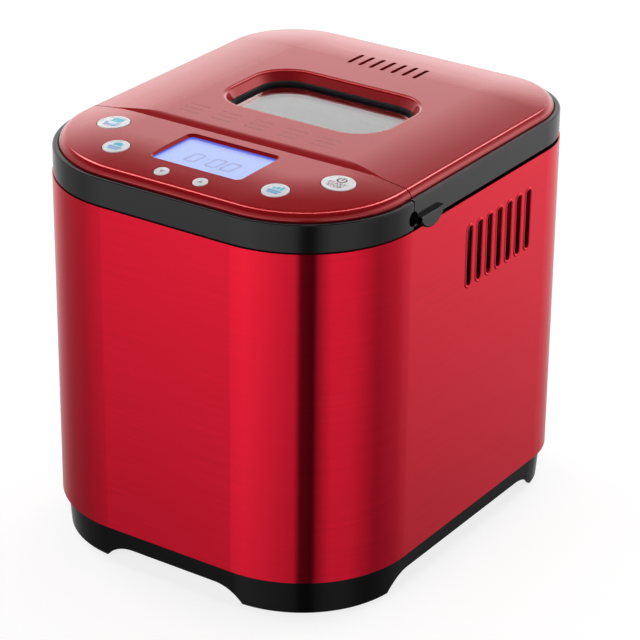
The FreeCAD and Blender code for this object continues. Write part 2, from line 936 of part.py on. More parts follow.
def lid_cover():
    """Red lid top: rolled edge, rolled front, window funnel, steam slots and screw bosses."""
    cover = behind(crown(cover_skirt), lid_front)

    def spot(inwards, height):
        return (-FAR / 2, lid_front + inwards, crown_top + height)

    front = Part.Wire(
        rolled_edge(seam_roll, seam_drop, seam_round, spot)
        + [line(spot(seam_roll, 0), spot(seam_roll, overrun)),
           line(spot(seam_roll, overrun), spot(-overrun, overrun)),
           line(spot(-overrun, overrun), spot(-overrun, -seam_drop)),
           line(spot(-overrun, -seam_drop), spot(0, -seam_drop))])
    cover = cover.cut(Part.Face(front).extrude(V(FAR, 0, 0)))
    cover = cover.cut(behind(crown_hollow(), lid_front + shell_wall))
    wall = 2 * shell_wall
    funnel = plate(
        window_y, window_width + wall, window_length + wall, window_corner_r + shell_wall,
        window_bottom, ceiling)
    pieces = [cover, funnel]
    for x, y in lid_boss_places():
        pieces.append(rod(x, y, lid_plate_top + slip_gap, ceiling, lid_boss_r))
    cover = joined(pieces).cut(window_cutter())
    for x, y in lid_boss_places():
        cover = cover.cut(rod(x, y, 0, ceiling, screw_r))
    steam_y = half_depth - steam_setback
    for index in range(steam_count):
        x = (index - (steam_count - 1) / 2) * steam_pitch
        cover = cover.cut(slot_y(x, steam_y, steam_length, steam_width, ceiling - overrun, FAR))
    return cover


def window_opening(extra):
    """Width, length and corner of the window at the funnel's foot, made larger by extra all round."""
    draw = window_foot() - extra
    return window_width - 2 * draw, window_length - 2 * draw, window_corner_r - draw


def window_gasket():
    """Black seal between the funnel's foot and the glass."""
    z0 = glass_top + slip_gap / 2
    z1 = window_bottom - slip_gap / 2
    outer = plate(window_y, *window_opening(gasket_cover), z0, z1)
    return outer.cut(plate(window_y, *window_opening(-gasket_step), z0, z1))


def lid_glass():
    """Window glass, lapped over the plate's opening."""
    return plate(window_y, *window_opening(glass_lap), glass_bottom, glass_top)


def lid_tab():
    """Half-round finger tab on the band's right side."""
    half = tab_length / 2
    r = (half ** 2 + tab_depth ** 2) / (2 * tab_depth)
    start = half_width + slip_gap
    face = half_width - band_inset + tab_proud
    drop = rod_x(start, face, tab_y, tab_top + r - tab_depth, r)
    drop = drop.common(block(start, face, -FAR, FAR, 0, tab_top))
    rim = [edge for edge in drop.Edges if edge.BoundBox.XMin > face - slip_gap]
    drop = drop.makeFillet(tab_edge_r, rim)
    root = rod_x(half_width - band_inner / 2, start, tab_y, tab_top + r - tab_depth, r)
    root = root.common(block(0, start, -FAR, FAR, lid_bottom, tab_top))
    return joined([drop, root])


def lid_frame():
    """Lid band, inner plate around the glass, front bar, finger tabs and hinge knuckles."""
    start = band_seam_y + seam_gap / 2
    band = rounded_wall(band_inset, band_inner, lid_bottom, lid_band_top, band_edge_r, band_foot_r)
    band = behind(band, start)
    bar_front = lid_front + shell_wall + slip_gap
    inner = body_slab(band_inner - band_lift, lid_bottom, lid_band_top)
    sheet = behind(inner, bar_front).common(block(-FAR, FAR, -FAR, FAR, lid_plate_bottom, lid_plate_top))
    bar = block(-FAR, FAR, bar_front, bar_front + cross_wall, lid_bottom, cover_skirt - slip_gap)
    tab = lid_tab()
    pieces = [band, sheet, bar.common(inner), tab, mirrored(tab)]
    for x in (-hinge_x, hinge_x):
        x0 = x - knuckle_length / 2
        x1 = x + knuckle_length / 2
        pieces.append(rod_x(x0, x1, hinge_y, hinge_z, barrel_r))
        pieces.append(block(
            x0, x1, hinge_y, half_depth - band_inner + band_lift, hinge_z - barrel_r / 2, hinge_z + barrel_r))
    frame = joined(pieces)
    frame = frame.cut(plate(window_y, *window_opening(-gasket_step), 0, FAR))
    for x in (-hinge_x, hinge_x):
        frame = frame.cut(hinge_bore(x, pin_r + running_gap))
    for x0 in ear_starts():
        x1 = x0 + ear_thickness + slip_gap
        notch_front = hinge_y - barrel_r - 2 * hinge_relief
        notch_top = lid_plate_top + hinge_relief
        frame = frame.cut(block(x0 - slip_gap, x1, notch_front, FAR, 0, notch_top))
    for x, y in lid_boss_places():
        frame = frame.cut(rod(x, y, 0, lid_plate_top, screw_r + slip_gap))
    duct = steam_count * steam_pitch
    duct_y = half_depth - steam_setback
    frame = frame.cut(plate(
        duct_y, duct, steam_length, steam_width, lid_plate_bottom - overrun, lid_plate_top + overrun))
    return cut_scoops(frame)


def lid_liner():
    """Aluminium dish under the lid, open at the window and drilled for steam."""
    width = chamber_width - 2 * liner_inset
    length = chamber_length - 2 * liner_inset
    r = chamber_corner_r - liner_inset
    top = lid_plate_bottom - slip_gap
    wall = 2 * liner_sheet
    dish = plate(chamber_y, width, length, r, liner_bottom, top)
    dish = dish.cut(plate(
        chamber_y, width - wall, length - wall, r - liner_sheet, liner_bottom + liner_sheet, top))
    lip = 2 * liner_flange
    flange = plate(chamber_y, width + lip, length + lip, r + liner_flange, top - liner_sheet, top)
    flange = flange.cut(plate(chamber_y, width - wall, length - wall, r - liner_sheet, 0, FAR))
    dish = joined([dish, flange])
    dish = dish.cut(plate(window_y, *window_opening(-gasket_step), 0, FAR))
    for index in range(steam_count):
        x = (index - (steam_count - 1) / 2) * steam_pitch
        dish = dish.cut(rod(x, half_depth - steam_setback, 0, FAR, steam_width))
    return dish


def lid_screws():
    """Screws up through the lid's plate into the cover's bosses."""
    return [screw(x, y, lid_plate_bottom, screw_bite, False) for x, y in lid_boss_places()]


def baking_chamber():
    """Pressed steel box hung in the deck by its flange."""
    wall = 2 * chamber_sheet
    top = deck_top + chamber_sheet
    box = plate(
        chamber_y, chamber_width + wall, chamber_length + wall, chamber_corner_r + chamber_sheet,
        chamber_floor, top)
    lip = 2 * chamber_flange
    flange = plate(
        chamber_y, chamber_width + lip, chamber_length + lip, chamber_corner_r + chamber_flange,
        deck_top, top)
    box = joined([box, flange])
    box = box.cut(plate(chamber_y, chamber_width, chamber_length, chamber_corner_r, chamber_floor_top, FAR))
    box = box.cut(rod(0, chamber_y, 0, FAR, bearing_r + slip_gap))
    for x in (-element_leg_x, element_leg_x):
        box = box.cut(rod_y(x, -FAR, chamber_front + overrun, element_z, element_r + slip_gap))
    probe_z = chamber_floor + probe_rise
    return box.cut(rod_y(probe_x, -FAR, chamber_front + overrun, probe_z, probe_r + slip_gap))


def chamber_spacers():
    """Four sleeves between the chassis and the chamber's floor."""
    x = chamber_width / 2 - chamber_corner_r
    reach = chamber_length / 2 - chamber_corner_r / 2
    spacers = []
    for y in (chamber_y - reach, chamber_y + reach):
        for side in (-x, x):
            spacers.append(tube(side, y, chassis_top, chamber_floor, spacer_r, spacer_bore_r))
    return spacers


def element_half_width():
    """Half the width of the heater's loop."""
    return chamber_width / 2 - element_gap


def heating_element():
    """Tubular heater: a rounded loop round the pan's foot, with two legs through the front wall."""
    half = element_half_width()
    front = chamber_front + element_gap
    rear = chamber_rear - element_gap
    r = chamber_corner_r - element_gap
    bend = element_leg_bend
    end = chamber_front - element_leg_reach
    turn = bend * (1 - math.sqrt(0.5))
    corner = r * (1 - math.sqrt(0.5))
    z = element_z
    leg = element_leg_x
    edges = [line((leg, end, z), (leg, front - bend, z))]
    edges.append(arc((leg, front - bend, z), (leg + turn, front - turn, z), (leg + bend, front, z)))
    edges.append(line((leg + bend, front, z), (half - r, front, z)))
    edges.append(arc((half - r, front, z), (half - corner, front + corner, z), (half, front + r, z)))
    edges.append(line((half, front + r, z), (half, rear - r, z)))
    edges.append(arc((half, rear - r, z), (half - corner, rear - corner, z), (half - r, rear, z)))
    edges.append(line((half - r, rear, z), (0, rear, z)))
    path = Part.Wire(edges)
    section = Part.Wire([Part.Circle(V(leg, end, z), V(0, 1, 0), element_r).toShape()])
    half_loop = path.makePipeShell([section], True, False)
    return joined([half_loop, mirrored(half_loop)])


def element_terminals():
    """Ceramic sleeves on the heater's legs."""
    end = chamber_front - chamber_sheet
    sleeves = []
    for x in (-element_leg_x, element_leg_x):
        sleeve = rod_y(x, end - terminal_length, end, element_z, terminal_r)
        sleeves.append(sleeve.cut(rod_y(x, -FAR, FAR, element_z, element_r)))
    return sleeves


def element_clips():
    """Saddles that carry the heater on the chamber's floor."""
    half = element_half_width()
    rear = chamber_rear - element_gap
    long_half = clip_length / 2
    wide_half = clip_width / 2
    side = block(
        half - long_half, half + wide_half, chamber_y - wide_half, chamber_y + wide_half,
        chamber_floor_top, element_z)
    side = side.cut(rod_y(half, -FAR, FAR, element_z, element_r))
    back = block(-wide_half, wide_half, rear - long_half, rear + wide_half, chamber_floor_top, element_z)
    back = back.cut(rod_x(-FAR, FAR, rear, element_z, element_r))
    return [side, mirrored(side), back]


def temperature_probe():
    """Probe through the chamber's front wall, with its flange outside."""
    z = chamber_floor + probe_rise
    face = chamber_front - chamber_sheet
    stem = rod_y(probe_x, face - terminal_length, chamber_front + probe_reach, z, probe_r)
    return joined([stem, rod_y(probe_x, face - probe_flange, face, z, probe_flange_r)])


def pan_seat():
    """Ring on the chamber's floor that takes the pan's foot."""
    inner = ring_r + seat_gap
    wall = tube(0, chamber_y, chamber_floor_top, chamber_floor_top + seat_height, inner + seat_wall, inner)
    flange_r = inner + seat_wall + seat_flange
    foot = tube(0, chamber_y, chamber_floor_top, chamber_floor_top + seat_sheet, flange_r, inner)
    return joined([wall, foot])


def bearing_housing():
    """Turned housing on the chassis, with a bore for the two bushes."""
    body = rod(0, chamber_y, bearing_bottom, bearing_top, bearing_r)
    flange = rod(0, chamber_y, chassis_top, chassis_top + bearing_flange, bearing_flange_r)
    return joined([body, flange]).cut(rod(0, chamber_y, 0, FAR, bush_r))


def shaft_bushes():
    """Bronze bushes at both ends of the bearing housing."""
    lower = tube(0, chamber_y, bearing_bottom, bearing_bottom + bush_length, bush_r, shaft_r + running_gap)
    upper = tube(0, chamber_y, bearing_top - bush_length, bearing_top, bush_r, shaft_r + running_gap)
    return [lower, upper]


def drive_shaft():
    """Shaft from the large pulley up into the chamber."""
    return rod(0, chamber_y, shaft_bottom, coupling_top, shaft_r)


def pitch_radius(teeth):
    """Radius of a pulley's pitch circle."""
    return teeth * belt_pitch / (2 * math.pi)


def toothed_disc(x, y, teeth, z0, z1):
    """Pulley rim with straight-sided grooves; tip and groove take their shares of the pitch."""
    tip = pitch_radius(teeth)
    root = tip - tooth_depth
    step = 360 / teeth
    tip_half = step * tip_share / 2
    root_half = step * root_share / 2
    points = []
    for index in range(teeth):
        tooth = index * step
        groove = tooth + step / 2
        points.append(polar(x, y, tip, tooth - tip_half, z0))
        points.append(polar(x, y, tip, tooth + tip_half, z0))
        points.append(polar(x, y, root, groove - root_half, z0))
        points.append(polar(x, y, root, groove + root_half, z0))
    vectors = [V(*point) for point in points]
    return raised(Part.makePolygon(vectors + vectors[:1]), z1 - z0)


def drive_pulley():
    """Large toothed pulley with a hub and a spoked web."""
    rim_inner = pitch_radius(drive_teeth) - tooth_depth - pulley_rim
    rim = toothed_disc(0, chamber_y, drive_teeth, pulley_bottom, pulley_top)
    rim = rim.cut(rod(0, chamber_y, 0, FAR, rim_inner))
    middle = (pulley_bottom + pulley_top) / 2
    web = tube(0, chamber_y, middle - pulley_web / 2, middle + pulley_web / 2, rim_inner + overrun, shaft_r)
    hub = tube(0, chamber_y, pulley_bottom, pulley_top, pulley_hub_r, shaft_r)
    hole_r = (rim_inner - pulley_hub_r) / 3
    hole_pcd = (rim_inner + pulley_hub_r) / 2
    for index in range(spoke_count):
        place = polar(0, chamber_y, hole_pcd, index * 360 / spoke_count, 0)
        web = web.cut(rod(place[0], place[1], 0, FAR, hole_r))
    return joined([rim, web, hub])


def pulley_nut():
    """Hexagon nut under the large pulley."""
    top = pulley_bottom - slip_gap / 3
    corner = nut_across / math.sqrt(3)
    vectors = [V(*polar(0, chamber_y, corner, 60 * index, top - nut_height)) for index in range(6)]
    nut = raised(Part.makePolygon(vectors + vectors[:1]), nut_height)
    return nut.cut(rod(0, chamber_y, 0, FAR, shaft_r))


def dog_bar(z0, z1, inner_r):
    """Two upright dogs either side of the axis, in line along Y."""
    half = dog_width / 2
    ring = tube(0, chamber_y, z0, z1, dog_r, inner_r)
    return ring.common(block(-half, half, -FAR, FAR, z0, z1))


def drive_coupling():
    """Driver on the shaft's top: a disc with two dogs that push the pan's wings."""
    disc = tube(0, chamber_y, coupling_bottom, coupling_top, dog_r, shaft_r)
    dogs = dog_bar(coupling_top - overrun, wing_top, dog_inner_r)
    return joined([disc, dogs])


def motor_pulley():
    """Small toothed pulley with two flanges."""
    flange = (pulley_width - belt_width) / 2 - slip_gap
    reach = pitch_radius(motor_teeth) + belt_thickness
    toothed = toothed_disc(motor_x, motor_y, motor_teeth, pulley_bottom, pulley_top)
    low = rod(motor_x, motor_y, pulley_bottom, pulley_bottom + flange, reach)
    high = rod(motor_x, motor_y, pulley_top - flange, pulley_top, reach)
    return joined([toothed, low, high]).cut(rod(motor_x, motor_y, 0, FAR, motor_shaft_r))


def belt_loop(offset, z):
    """Open-belt line round both pulleys: two arcs and their outer tangents."""
    large = pitch_radius(drive_teeth) + offset
    small = pitch_radius(motor_teeth) + offset
    run_x = motor_x
    run_y = motor_y - chamber_y
    distance = math.hypot(run_x, run_y)
    heading = math.degrees(math.atan2(run_y, run_x))
    spread = math.degrees(math.acos((large - small) / distance))
    left = heading + spread
    right = heading - spread
    return Part.Wire([
        line(polar(0, chamber_y, large, left, z), polar(motor_x, motor_y, small, left, z)),
        arc(polar(motor_x, motor_y, small, left, z), polar(motor_x, motor_y, small, heading, z),
            polar(motor_x, motor_y, small, right, z)),
        line(polar(motor_x, motor_y, small, right, z), polar(0, chamber_y, large, right, z)),
        arc(polar(0, chamber_y, large, right, z), polar(0, chamber_y, large, heading + 180, z),
            polar(0, chamber_y, large, left, z)),
    ])


def drive_belt():
    """Belt band just off the pulleys' tooth tips."""
    middle = (pulley_bottom + pulley_top) / 2
    z0 = middle - belt_width / 2
    outer = raised(belt_loop(slip_gap + belt_thickness, z0), belt_width)
    return outer.cut(raised(belt_loop(slip_gap, z0), belt_width))


def motor_square(side, r, z0, z1):
    """Rounded square prism on the motor's axis."""
    half = side / 2
    loop = rounded_loop(motor_x - half, motor_x + half, motor_y - half, motor_y + half, r, r, z0)
    return raised(loop, z1 - z0)


def motor_post_places():
    """Middles of the end bells' corner posts."""
    reach = stack_side / 2 - bell_post_r - slip_gap
    return [(motor_x + side_x * reach, motor_y + side_y * reach) for side_x in (-1, 1) for side_y in (-1, 1)]


def motor_stator():
    """Laminated stack with the rotor's bore."""
    stack = motor_square(stack_side, stack_corner_r, stack_bottom, stack_top)
    return stack.cut(rod(motor_x, motor_y, 0, FAR, stack_bore_r))


def motor_windings():
    """Coil ends above and below the stack."""
    inner = stack_bore_r + 2 * air_gap
    low = tube(motor_x, motor_y, stack_bottom - winding_height + slip_gap, stack_bottom, winding_r, inner)
    high = tube(motor_x, motor_y, stack_top, stack_top + winding_height - slip_gap, winding_r, inner)
    return [low, high]


def end_bell(plate_z, post_z0, post_z1, boss_z0, boss_z1):
    """Motor end bracket: plate, corner posts and bearing boss."""
    pieces = [motor_square(stack_side, stack_corner_r, plate_z, plate_z + bell_plate)]
    for x, y in motor_post_places():
        pieces.append(rod(x, y, post_z0, post_z1, bell_post_r))
    pieces.append(rod(motor_x, motor_y, boss_z0, boss_z1, bell_boss_r))
    return joined(pieces).cut(rod(motor_x, motor_y, 0, FAR, motor_shaft_r + running_gap))


def motor_end_bells():
    """Lower and upper end brackets."""
    floor = chassis_top + bell_plate
    low = end_bell(chassis_top, chassis_top, stack_bottom, chassis_top, floor + bell_boss - slip_gap)
    high = end_bell(bell_top, stack_top, bell_top, bell_top, bell_top + bell_plate + bell_boss)
    return [low, high]


def motor_rotor():
    """Rotor core on the motor's shaft."""
    r = stack_bore_r - air_gap
    low = stack_bottom - winding_height / 2
    return tube(motor_x, motor_y, low, stack_top + winding_height / 2, r, motor_shaft_r)


def motor_shaft():
    """Shaft through rotor, fan and small pulley."""
    return rod(motor_x, motor_y, shaft_bottom, fan_bottom + fan_height, motor_shaft_r)


def cooling_fan():
    """Radial fan on the motor's upper shaft end."""
    top = fan_bottom + fan_height
    pieces = [
        rod(motor_x, motor_y, fan_bottom, top, 2 * motor_shaft_r),
        rod(motor_x, motor_y, fan_bottom, fan_bottom + fan_blade, fan_r),
    ]
    for index in range(fan_blades):
        blade = block(motor_shaft_r, fan_r - fan_blade, -fan_blade / 2, fan_blade / 2, fan_bottom, top)
        blade.rotate(V(0, 0, 0), V(0, 0, 1), index * 360 / fan_blades)
        blade.translate(V(motor_x, motor_y, 0))
        pieces.append(blade)
    return joined(pieces).cut(rod(motor_x, motor_y, 0, FAR, motor_shaft_r))


def motor_capacitor():
    """Boxed run capacitor beside the motor."""
    length, width, height = capacitor_size
    x1 = motor_x - stack_side / 2 - width
    y0 = -half_depth + capacitor_front_space
    return block(x1 - length, x1, y0, y0 + width, chassis_top, chassis_top + height)


def power_board_frame():
    """Left, right, low and high edges of the power board."""
    width, height = power_board_size
    low = chassis_top + power_board_rise
    return power_board_x - width / 2, power_board_x + width / 2, low, low + height


def heat_shield():
    """Bent sheet between the chamber and the electrics, with pressed bosses for the board."""
    sheet = block(-shield_half, shield_half, shield_y - shield_sheet, shield_y, chassis_top, shield_top)
    foot = block(-shield_half, shield_half, shield_y - shield_sheet, shield_y + shield_foot, chassis_top,
                 chassis_top + shield_sheet)
    foot = foot.common(body_slab(chassis_inset, 0, FAR))
    pieces = [sheet, foot]
    x0, x1, z0, z1 = power_board_frame()
    for x in (x0 + board_boss, x1 - board_boss):
        for z in (z0 + board_boss, z1 - board_boss):
            pieces.append(rod_y(x, shield_y - shield_sheet - board_boss, shield_y, z, board_boss_r))
    return joined(pieces)


def power_board():
    """Upright board on the heat shield's bosses."""
    x0, x1, z0, z1 = power_board_frame()
    rear = shield_y - shield_sheet - board_boss
    return block(x0, x1, rear - board_thickness, rear, z0, z1)


def power_transformer():
    """Boxed transformer on the power board."""
    x0, x1, z0, z1 = power_board_frame()
    width, depth, height = transformer_size
    rear = shield_y - shield_sheet - board_boss - board_thickness
    x = (x0 + x1) / 2
    low = z0 + 2 * board_boss
    return block(x - width / 2, x + width / 2, rear - depth, rear, low, low + height)


def pan_shell(grow, z_low):
    """Tapered pan body with a drawn-in foot, offset outwards by grow."""
    width = pan_width + 2 * grow
    length = pan_length + 2 * grow
    r = pan_corner_r + grow
    low = 2 * pan_taper
    foot = 2 * (pan_taper + pan_foot_taper)
    return tapered([
        centred_loop(chamber_y, width - foot, length - foot, r, z_low),
        centred_loop(chamber_y, width - low, length - low, r, z_low + pan_foot_rise),
        centred_loop(chamber_y, width, length, r, pan_top),
    ])


def bread_pan():
    """Loaf pan with a drawn-in foot, turned-out rim and a hole for the spindle's bush."""
    rim = plate(
        chamber_y, pan_width + 2 * pan_rim, pan_length + 2 * pan_rim, pan_corner_r + pan_rim,
        pan_top - pan_rim_thickness, pan_top)
    pan = joined([pan_shell(0, pan_bottom), rim])
    pan = pan.cut(pan_shell(-pan_wall, pan_floor_top))
    return pan.cut(rod(0, chamber_y, 0, pan_floor_top, spindle_bush_r))


def pan_base():
    """Cast ring under the pan that drops into the seat."""
    return tube(0, chamber_y, pan_bottom - ring_drop, pan_bottom, ring_r, ring_r - ring_wall)


def spindle_bush():
    """Collared bush in the pan's floor."""
    low = wing_top + slip_gap
    body = rod(0, chamber_y, low, pan_bottom + spindle_bush_height, spindle_bush_r)
    collar = rod(0, chamber_y, pan_floor_top, pan_floor_top + spindle_collar, spindle_collar_r)
    return joined([body, collar]).cut(rod(0, chamber_y, 0, FAR, shaft_r + running_gap))


def pan_spindle():
    """Spindle through the pan's floor, with a flat for the paddle."""
    spindle = rod(0, chamber_y, wing_bottom, spindle_top, shaft_r)
    flat = block(-FAR, FAR, chamber_y + shaft_r - spindle_flat, FAR, paddle_bottom, FAR)
    return spindle.cut(flat)


def pan_coupling():
    """Wings on the spindle's lower end, between the drive's dogs."""
    half = dog_width / 2
    disc = rod(0, chamber_y, wing_bottom, wing_top, dog_r)
    wings = disc.common(block(-FAR, FAR, chamber_y - half, chamber_y + half, 0, FAR))
    hub = rod(0, chamber_y, wing_bottom, wing_top, shaft_r + wing_hub_wall)
    return joined([wings, hub]).cut(rod(0, chamber_y, 0, FAR, shaft_r))


def kneading_paddle():
    """Hub with a flat in its bore, and one raked blade."""
    hub_top = paddle_bottom + paddle_hub_height
    blade_top = paddle_bottom + paddle_blade_height
    half = paddle_blade / 2
    hub = rod(0, chamber_y, paddle_bottom, hub_top, paddle_hub_r)
    outline = Part.makePolygon([
        V(0, -half, paddle_bottom),
        V(paddle_reach, -half, paddle_bottom),
        V(paddle_reach - paddle_tip_inset, -half, (blade_top + paddle_bottom) / 2),
        V(paddle_hub_r, -half, blade_top),
        V(0, -half, hub_top),
        V(0, -half, paddle_bottom),
    ])
    blade = Part.Face(outline).extrude(V(0, paddle_blade, 0))
    blade.translate(V(0, chamber_y, 0))
    bore = rod(0, chamber_y, 0, spindle_top + slip_gap, shaft_r + running_gap)
    flat = block(-FAR, FAR, chamber_y + shaft_r - spindle_flat + running_gap, FAR, 0, FAR)
    return joined([hub, blade]).cut(bore.cut(flat))


def handle_ears():
    """Brackets with a stub pin on the pan's two ends."""
    x0 = pan_width / 2 + slip_gap
    x1 = x0 + ear_plate
    half = ear_width / 2
    top = pan_top - pan_rim_thickness - slip_gap
    bracket = block(x0, x1, chamber_y - half, chamber_y + half, top - ear_height, top)
    ear = joined([bracket, rod_x(x0, handle_x + eyelet_r, chamber_y, handle_z, stub_r)])
    return [ear, mirrored(ear)]


def pan_handle():
    """Bail handle leaning to the rear, its two eyelets on the stub pins."""
    corner = handle_corner_r * (1 - math.sqrt(0.5))
    start = (eyelet_r + stub_r) / 2
    turn = handle_reach - handle_corner_r
    path = Part.Wire([
        line((handle_x, start, 0), (handle_x, turn, 0)),
        arc((handle_x, turn, 0), (handle_x - corner, handle_reach - corner, 0),
            (handle_x - handle_corner_r, handle_reach, 0)),
        line((handle_x - handle_corner_r, handle_reach, 0), (0, handle_reach, 0)),
    ])
    section = Part.Wire([Part.Circle(V(handle_x, start, 0), V(0, 1, 0), handle_wire_r).toShape()])
    half = path.makePipeShell([section], True, False)
    eyelet = rod_x(handle_x - eyelet_width / 2, handle_x + eyelet_width / 2, 0, 0, eyelet_r)
    half = joined([half, eyelet])
    handle = joined([half, mirrored(half)]).cut(rod_x(-FAR, FAR, 0, 0, stub_r + running_gap))
    handle.rotate(V(0, 0, 0), V(1, 0, 0), handle_lean)
    handle.translate(V(0, chamber_y, handle_z))
    return handle


def export(name, shape):
    """Write one piece, or a group of like pieces, as a STEP file."""
    solid = Part.makeCompound(shape) if isinstance(shape, list) else shape
    solid.exportStep("parts/" + name + ".step")
    state = "valid" if solid.isValid() else "INVALID"
    print(name, len(solid.Solids), "solid(s)", round(solid.Volume), "mm3", state)


os.makedirs("parts", exist_ok=True)

PIECES = [
    housing_sleeve, base_tray, cord_gland, rubber_feet, chassis_plate, chassis_screws, top_frame, hinge_pins,
    control_panel, lcd_lens, lcd_module, control_board, board_screws, tact_switches,
    lid_cover, window_gasket, lid_glass, lid_frame, lid_liner, lid_screws,
    baking_chamber, chamber_spacers, heating_element, element_terminals, element_clips, temperature_probe,
    pan_seat, bearing_housing, shaft_bushes, drive_shaft, drive_pulley, pulley_nut, drive_coupling,
    motor_pulley, drive_belt, motor_stator, motor_windings, motor_end_bells, motor_rotor, motor_shaft,
    cooling_fan, motor_capacitor, heat_shield, power_board, power_transformer,
    bread_pan, pan_base, spindle_bush, pan_spindle, pan_coupling, kneading_paddle, handle_ears, pan_handle,
]

for piece in PIECES:
    export(piece.__name__, piece())
for name, x, y, r in button_places():
    export(name, button(x, y, r))
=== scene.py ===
"""Finishes, button caps, printed marks and studio for a bread machine whose solid pieces come packed."""

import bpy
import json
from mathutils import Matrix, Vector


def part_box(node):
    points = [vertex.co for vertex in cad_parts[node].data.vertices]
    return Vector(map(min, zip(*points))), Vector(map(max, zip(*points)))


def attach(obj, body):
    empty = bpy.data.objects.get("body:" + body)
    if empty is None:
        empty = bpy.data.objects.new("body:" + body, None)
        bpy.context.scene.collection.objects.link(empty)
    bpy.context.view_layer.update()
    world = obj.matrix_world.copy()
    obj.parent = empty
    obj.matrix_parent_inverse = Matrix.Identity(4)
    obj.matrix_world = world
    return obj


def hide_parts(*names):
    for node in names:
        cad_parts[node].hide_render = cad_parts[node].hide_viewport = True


bl_info = {
    "name": "Bread machine",
    "version": (1, 0, 0),
    "blender": (4, 5, 0),
    "location": "View3D > Sidebar > Bread machine",
    "description": "Dresses the packed bread machine with finishes, caps, marks and a studio",
    "category": "Object",
}

import json
import math

import bmesh
import bpy
import numpy as np
from bpy.props import FloatProperty, FloatVectorProperty, IntProperty, PointerProperty, StringProperty
from mathutils import Matrix, Vector

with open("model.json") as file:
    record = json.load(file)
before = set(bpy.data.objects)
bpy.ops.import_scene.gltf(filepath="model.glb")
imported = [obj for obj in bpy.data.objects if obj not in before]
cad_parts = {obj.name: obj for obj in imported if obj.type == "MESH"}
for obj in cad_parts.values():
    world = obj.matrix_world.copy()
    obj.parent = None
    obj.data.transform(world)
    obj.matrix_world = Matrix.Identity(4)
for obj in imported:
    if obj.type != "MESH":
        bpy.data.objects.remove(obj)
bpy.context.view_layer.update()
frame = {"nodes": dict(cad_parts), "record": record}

MM = 0.001

# Outline of the body and of the rolled red top
SLEEVE_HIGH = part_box("housing_sleeve")[1]
COVER_LOW, COVER_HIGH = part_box("lid_cover")
PANEL_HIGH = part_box("control_panel")[1]
HALF_WIDTH = SLEEVE_HIGH.x
HALF_DEPTH = SLEEVE_HIGH.y
TOP = COVER_HIGH.z
PANEL_INSET = HALF_WIDTH - PANEL_HIGH.x
FRONT_CORNER = 81.0 * MM
CROWN_ROLL = 51.0 * MM
CROWN_DROP = 9.6 * MM
CROWN_EDGE = 6.0 * MM

# Buttons: the solids' hidden flange, the caps' height over the panel, and how deep a face's middle lies
# under its ring, as a share of the ring's sink
BUTTON_FLANGE = 1.7 * MM
BUTTON_PROUD = 0.4 * MM
FACE_CROWN = 0.35

# Points along a bar's rounded end and along an open ring's edge
BAR_END_POINTS = 9
ARC_POINTS = 29

BUTTONS = {
    "menu": "menu_button",
    "start_stop": "start_stop_button",
    "loaf": "loaf_button",
    "crust": "crust_button",
    "time_down": "time_down_button",
    "time_up": "time_up_button",
}


def colour(name, description, default):
    """Colour setting: red, green and blue shares from nought to one."""
    return FloatVectorProperty(
        name=name, description=description, default=default, subtype="COLOR", min=0.0, max=1.0)


def length(name, description, default):
    """Size setting in metres, from a default in millimetres."""
    return FloatProperty(name=name, description=description, default=default * MM, unit="LENGTH")


class FinishSettings(bpy.types.PropertyGroup):
    """Colours of the machine's finishes."""

    housing_red: colour("Housing red", "Lacquer over the brushed sheet", (0.93, 0.016, 0.045))
    top_red: colour("Top red", "Gloss moulding of the lid and the panel", (0.47, 0.008, 0.014))
    band_black: colour("Band black", "Satin moulding of the bands and the base", (0.004, 0.004, 0.005))
    cap_blue: colour("Cap blue", "Labels of the setting buttons", (0.22, 0.50, 0.80))
    cap_cyan: colour("Cap cyan", "Marks of the setting buttons", (0.06, 0.60, 0.78))
    cap_silver: colour("Cap silver", "Rings and faces of the buttons", (0.90, 0.89, 0.92))
    display_pale: colour("Display pale", "Backlight in the display's middle", (0.33, 0.45, 0.86))
    # Painted shade: the recess's shadow on the display, drawn as a deeper glow along the far and left edges
    display_recess_shade: colour("Display deep", "Backlight along the far and left edges", (0.07, 0.15, 0.80))
    print_ink: colour("Print ink", "Marks printed on the lid", (0.28, 0.09, 0.09))
    icon_red: colour("Icon red", "Mark on the start button", (0.16, 0.010, 0.025))


class DetailSettings(bpy.types.PropertyGroup):
    """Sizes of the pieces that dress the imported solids."""

    vent_count: IntProperty(
        name="Slots per side", description="Upright slots in each side of the housing", default=7, min=1)
    vent_pitch: length("Slot pitch", "Distance from slot to slot", 12.3)
    vent_length: length("Slot length", "Height of a slot", 41.5)
    vent_width: length("Slot width", "Width of a slot", 5.2)
    vent_drop: length("Slot drop", "From the housing's top edge to the slots", 20.5)
    vent_shift: length("Slot shift", "Middle of the row behind the body's middle", 34.6)
    lip_half_width: length("Lip half width", "Half the width of the rolled rim of a slot", 1.1)
    lip_half_height: length("Lip half height", "Half the height of the rolled rim", 1.5)
    lip_proud: length("Lip proud", "How far the rim stands out of the sheet", 0.55)
    ring_share: FloatProperty(
        name="Ring share", description="Width of the bright ring as a share of its radius", default=0.20,
        min=0.0, max=0.5)
    ring_sink: length("Ring sink", "Depth unit of a cap: a face's rim lies this far under its ring", 0.25)
    cap_depth: length("Cap depth", "Height of a cap's wall below its top", 4.0)
    mark_lift: length("Mark lift", "Thickness of a printed mark", 0.06)


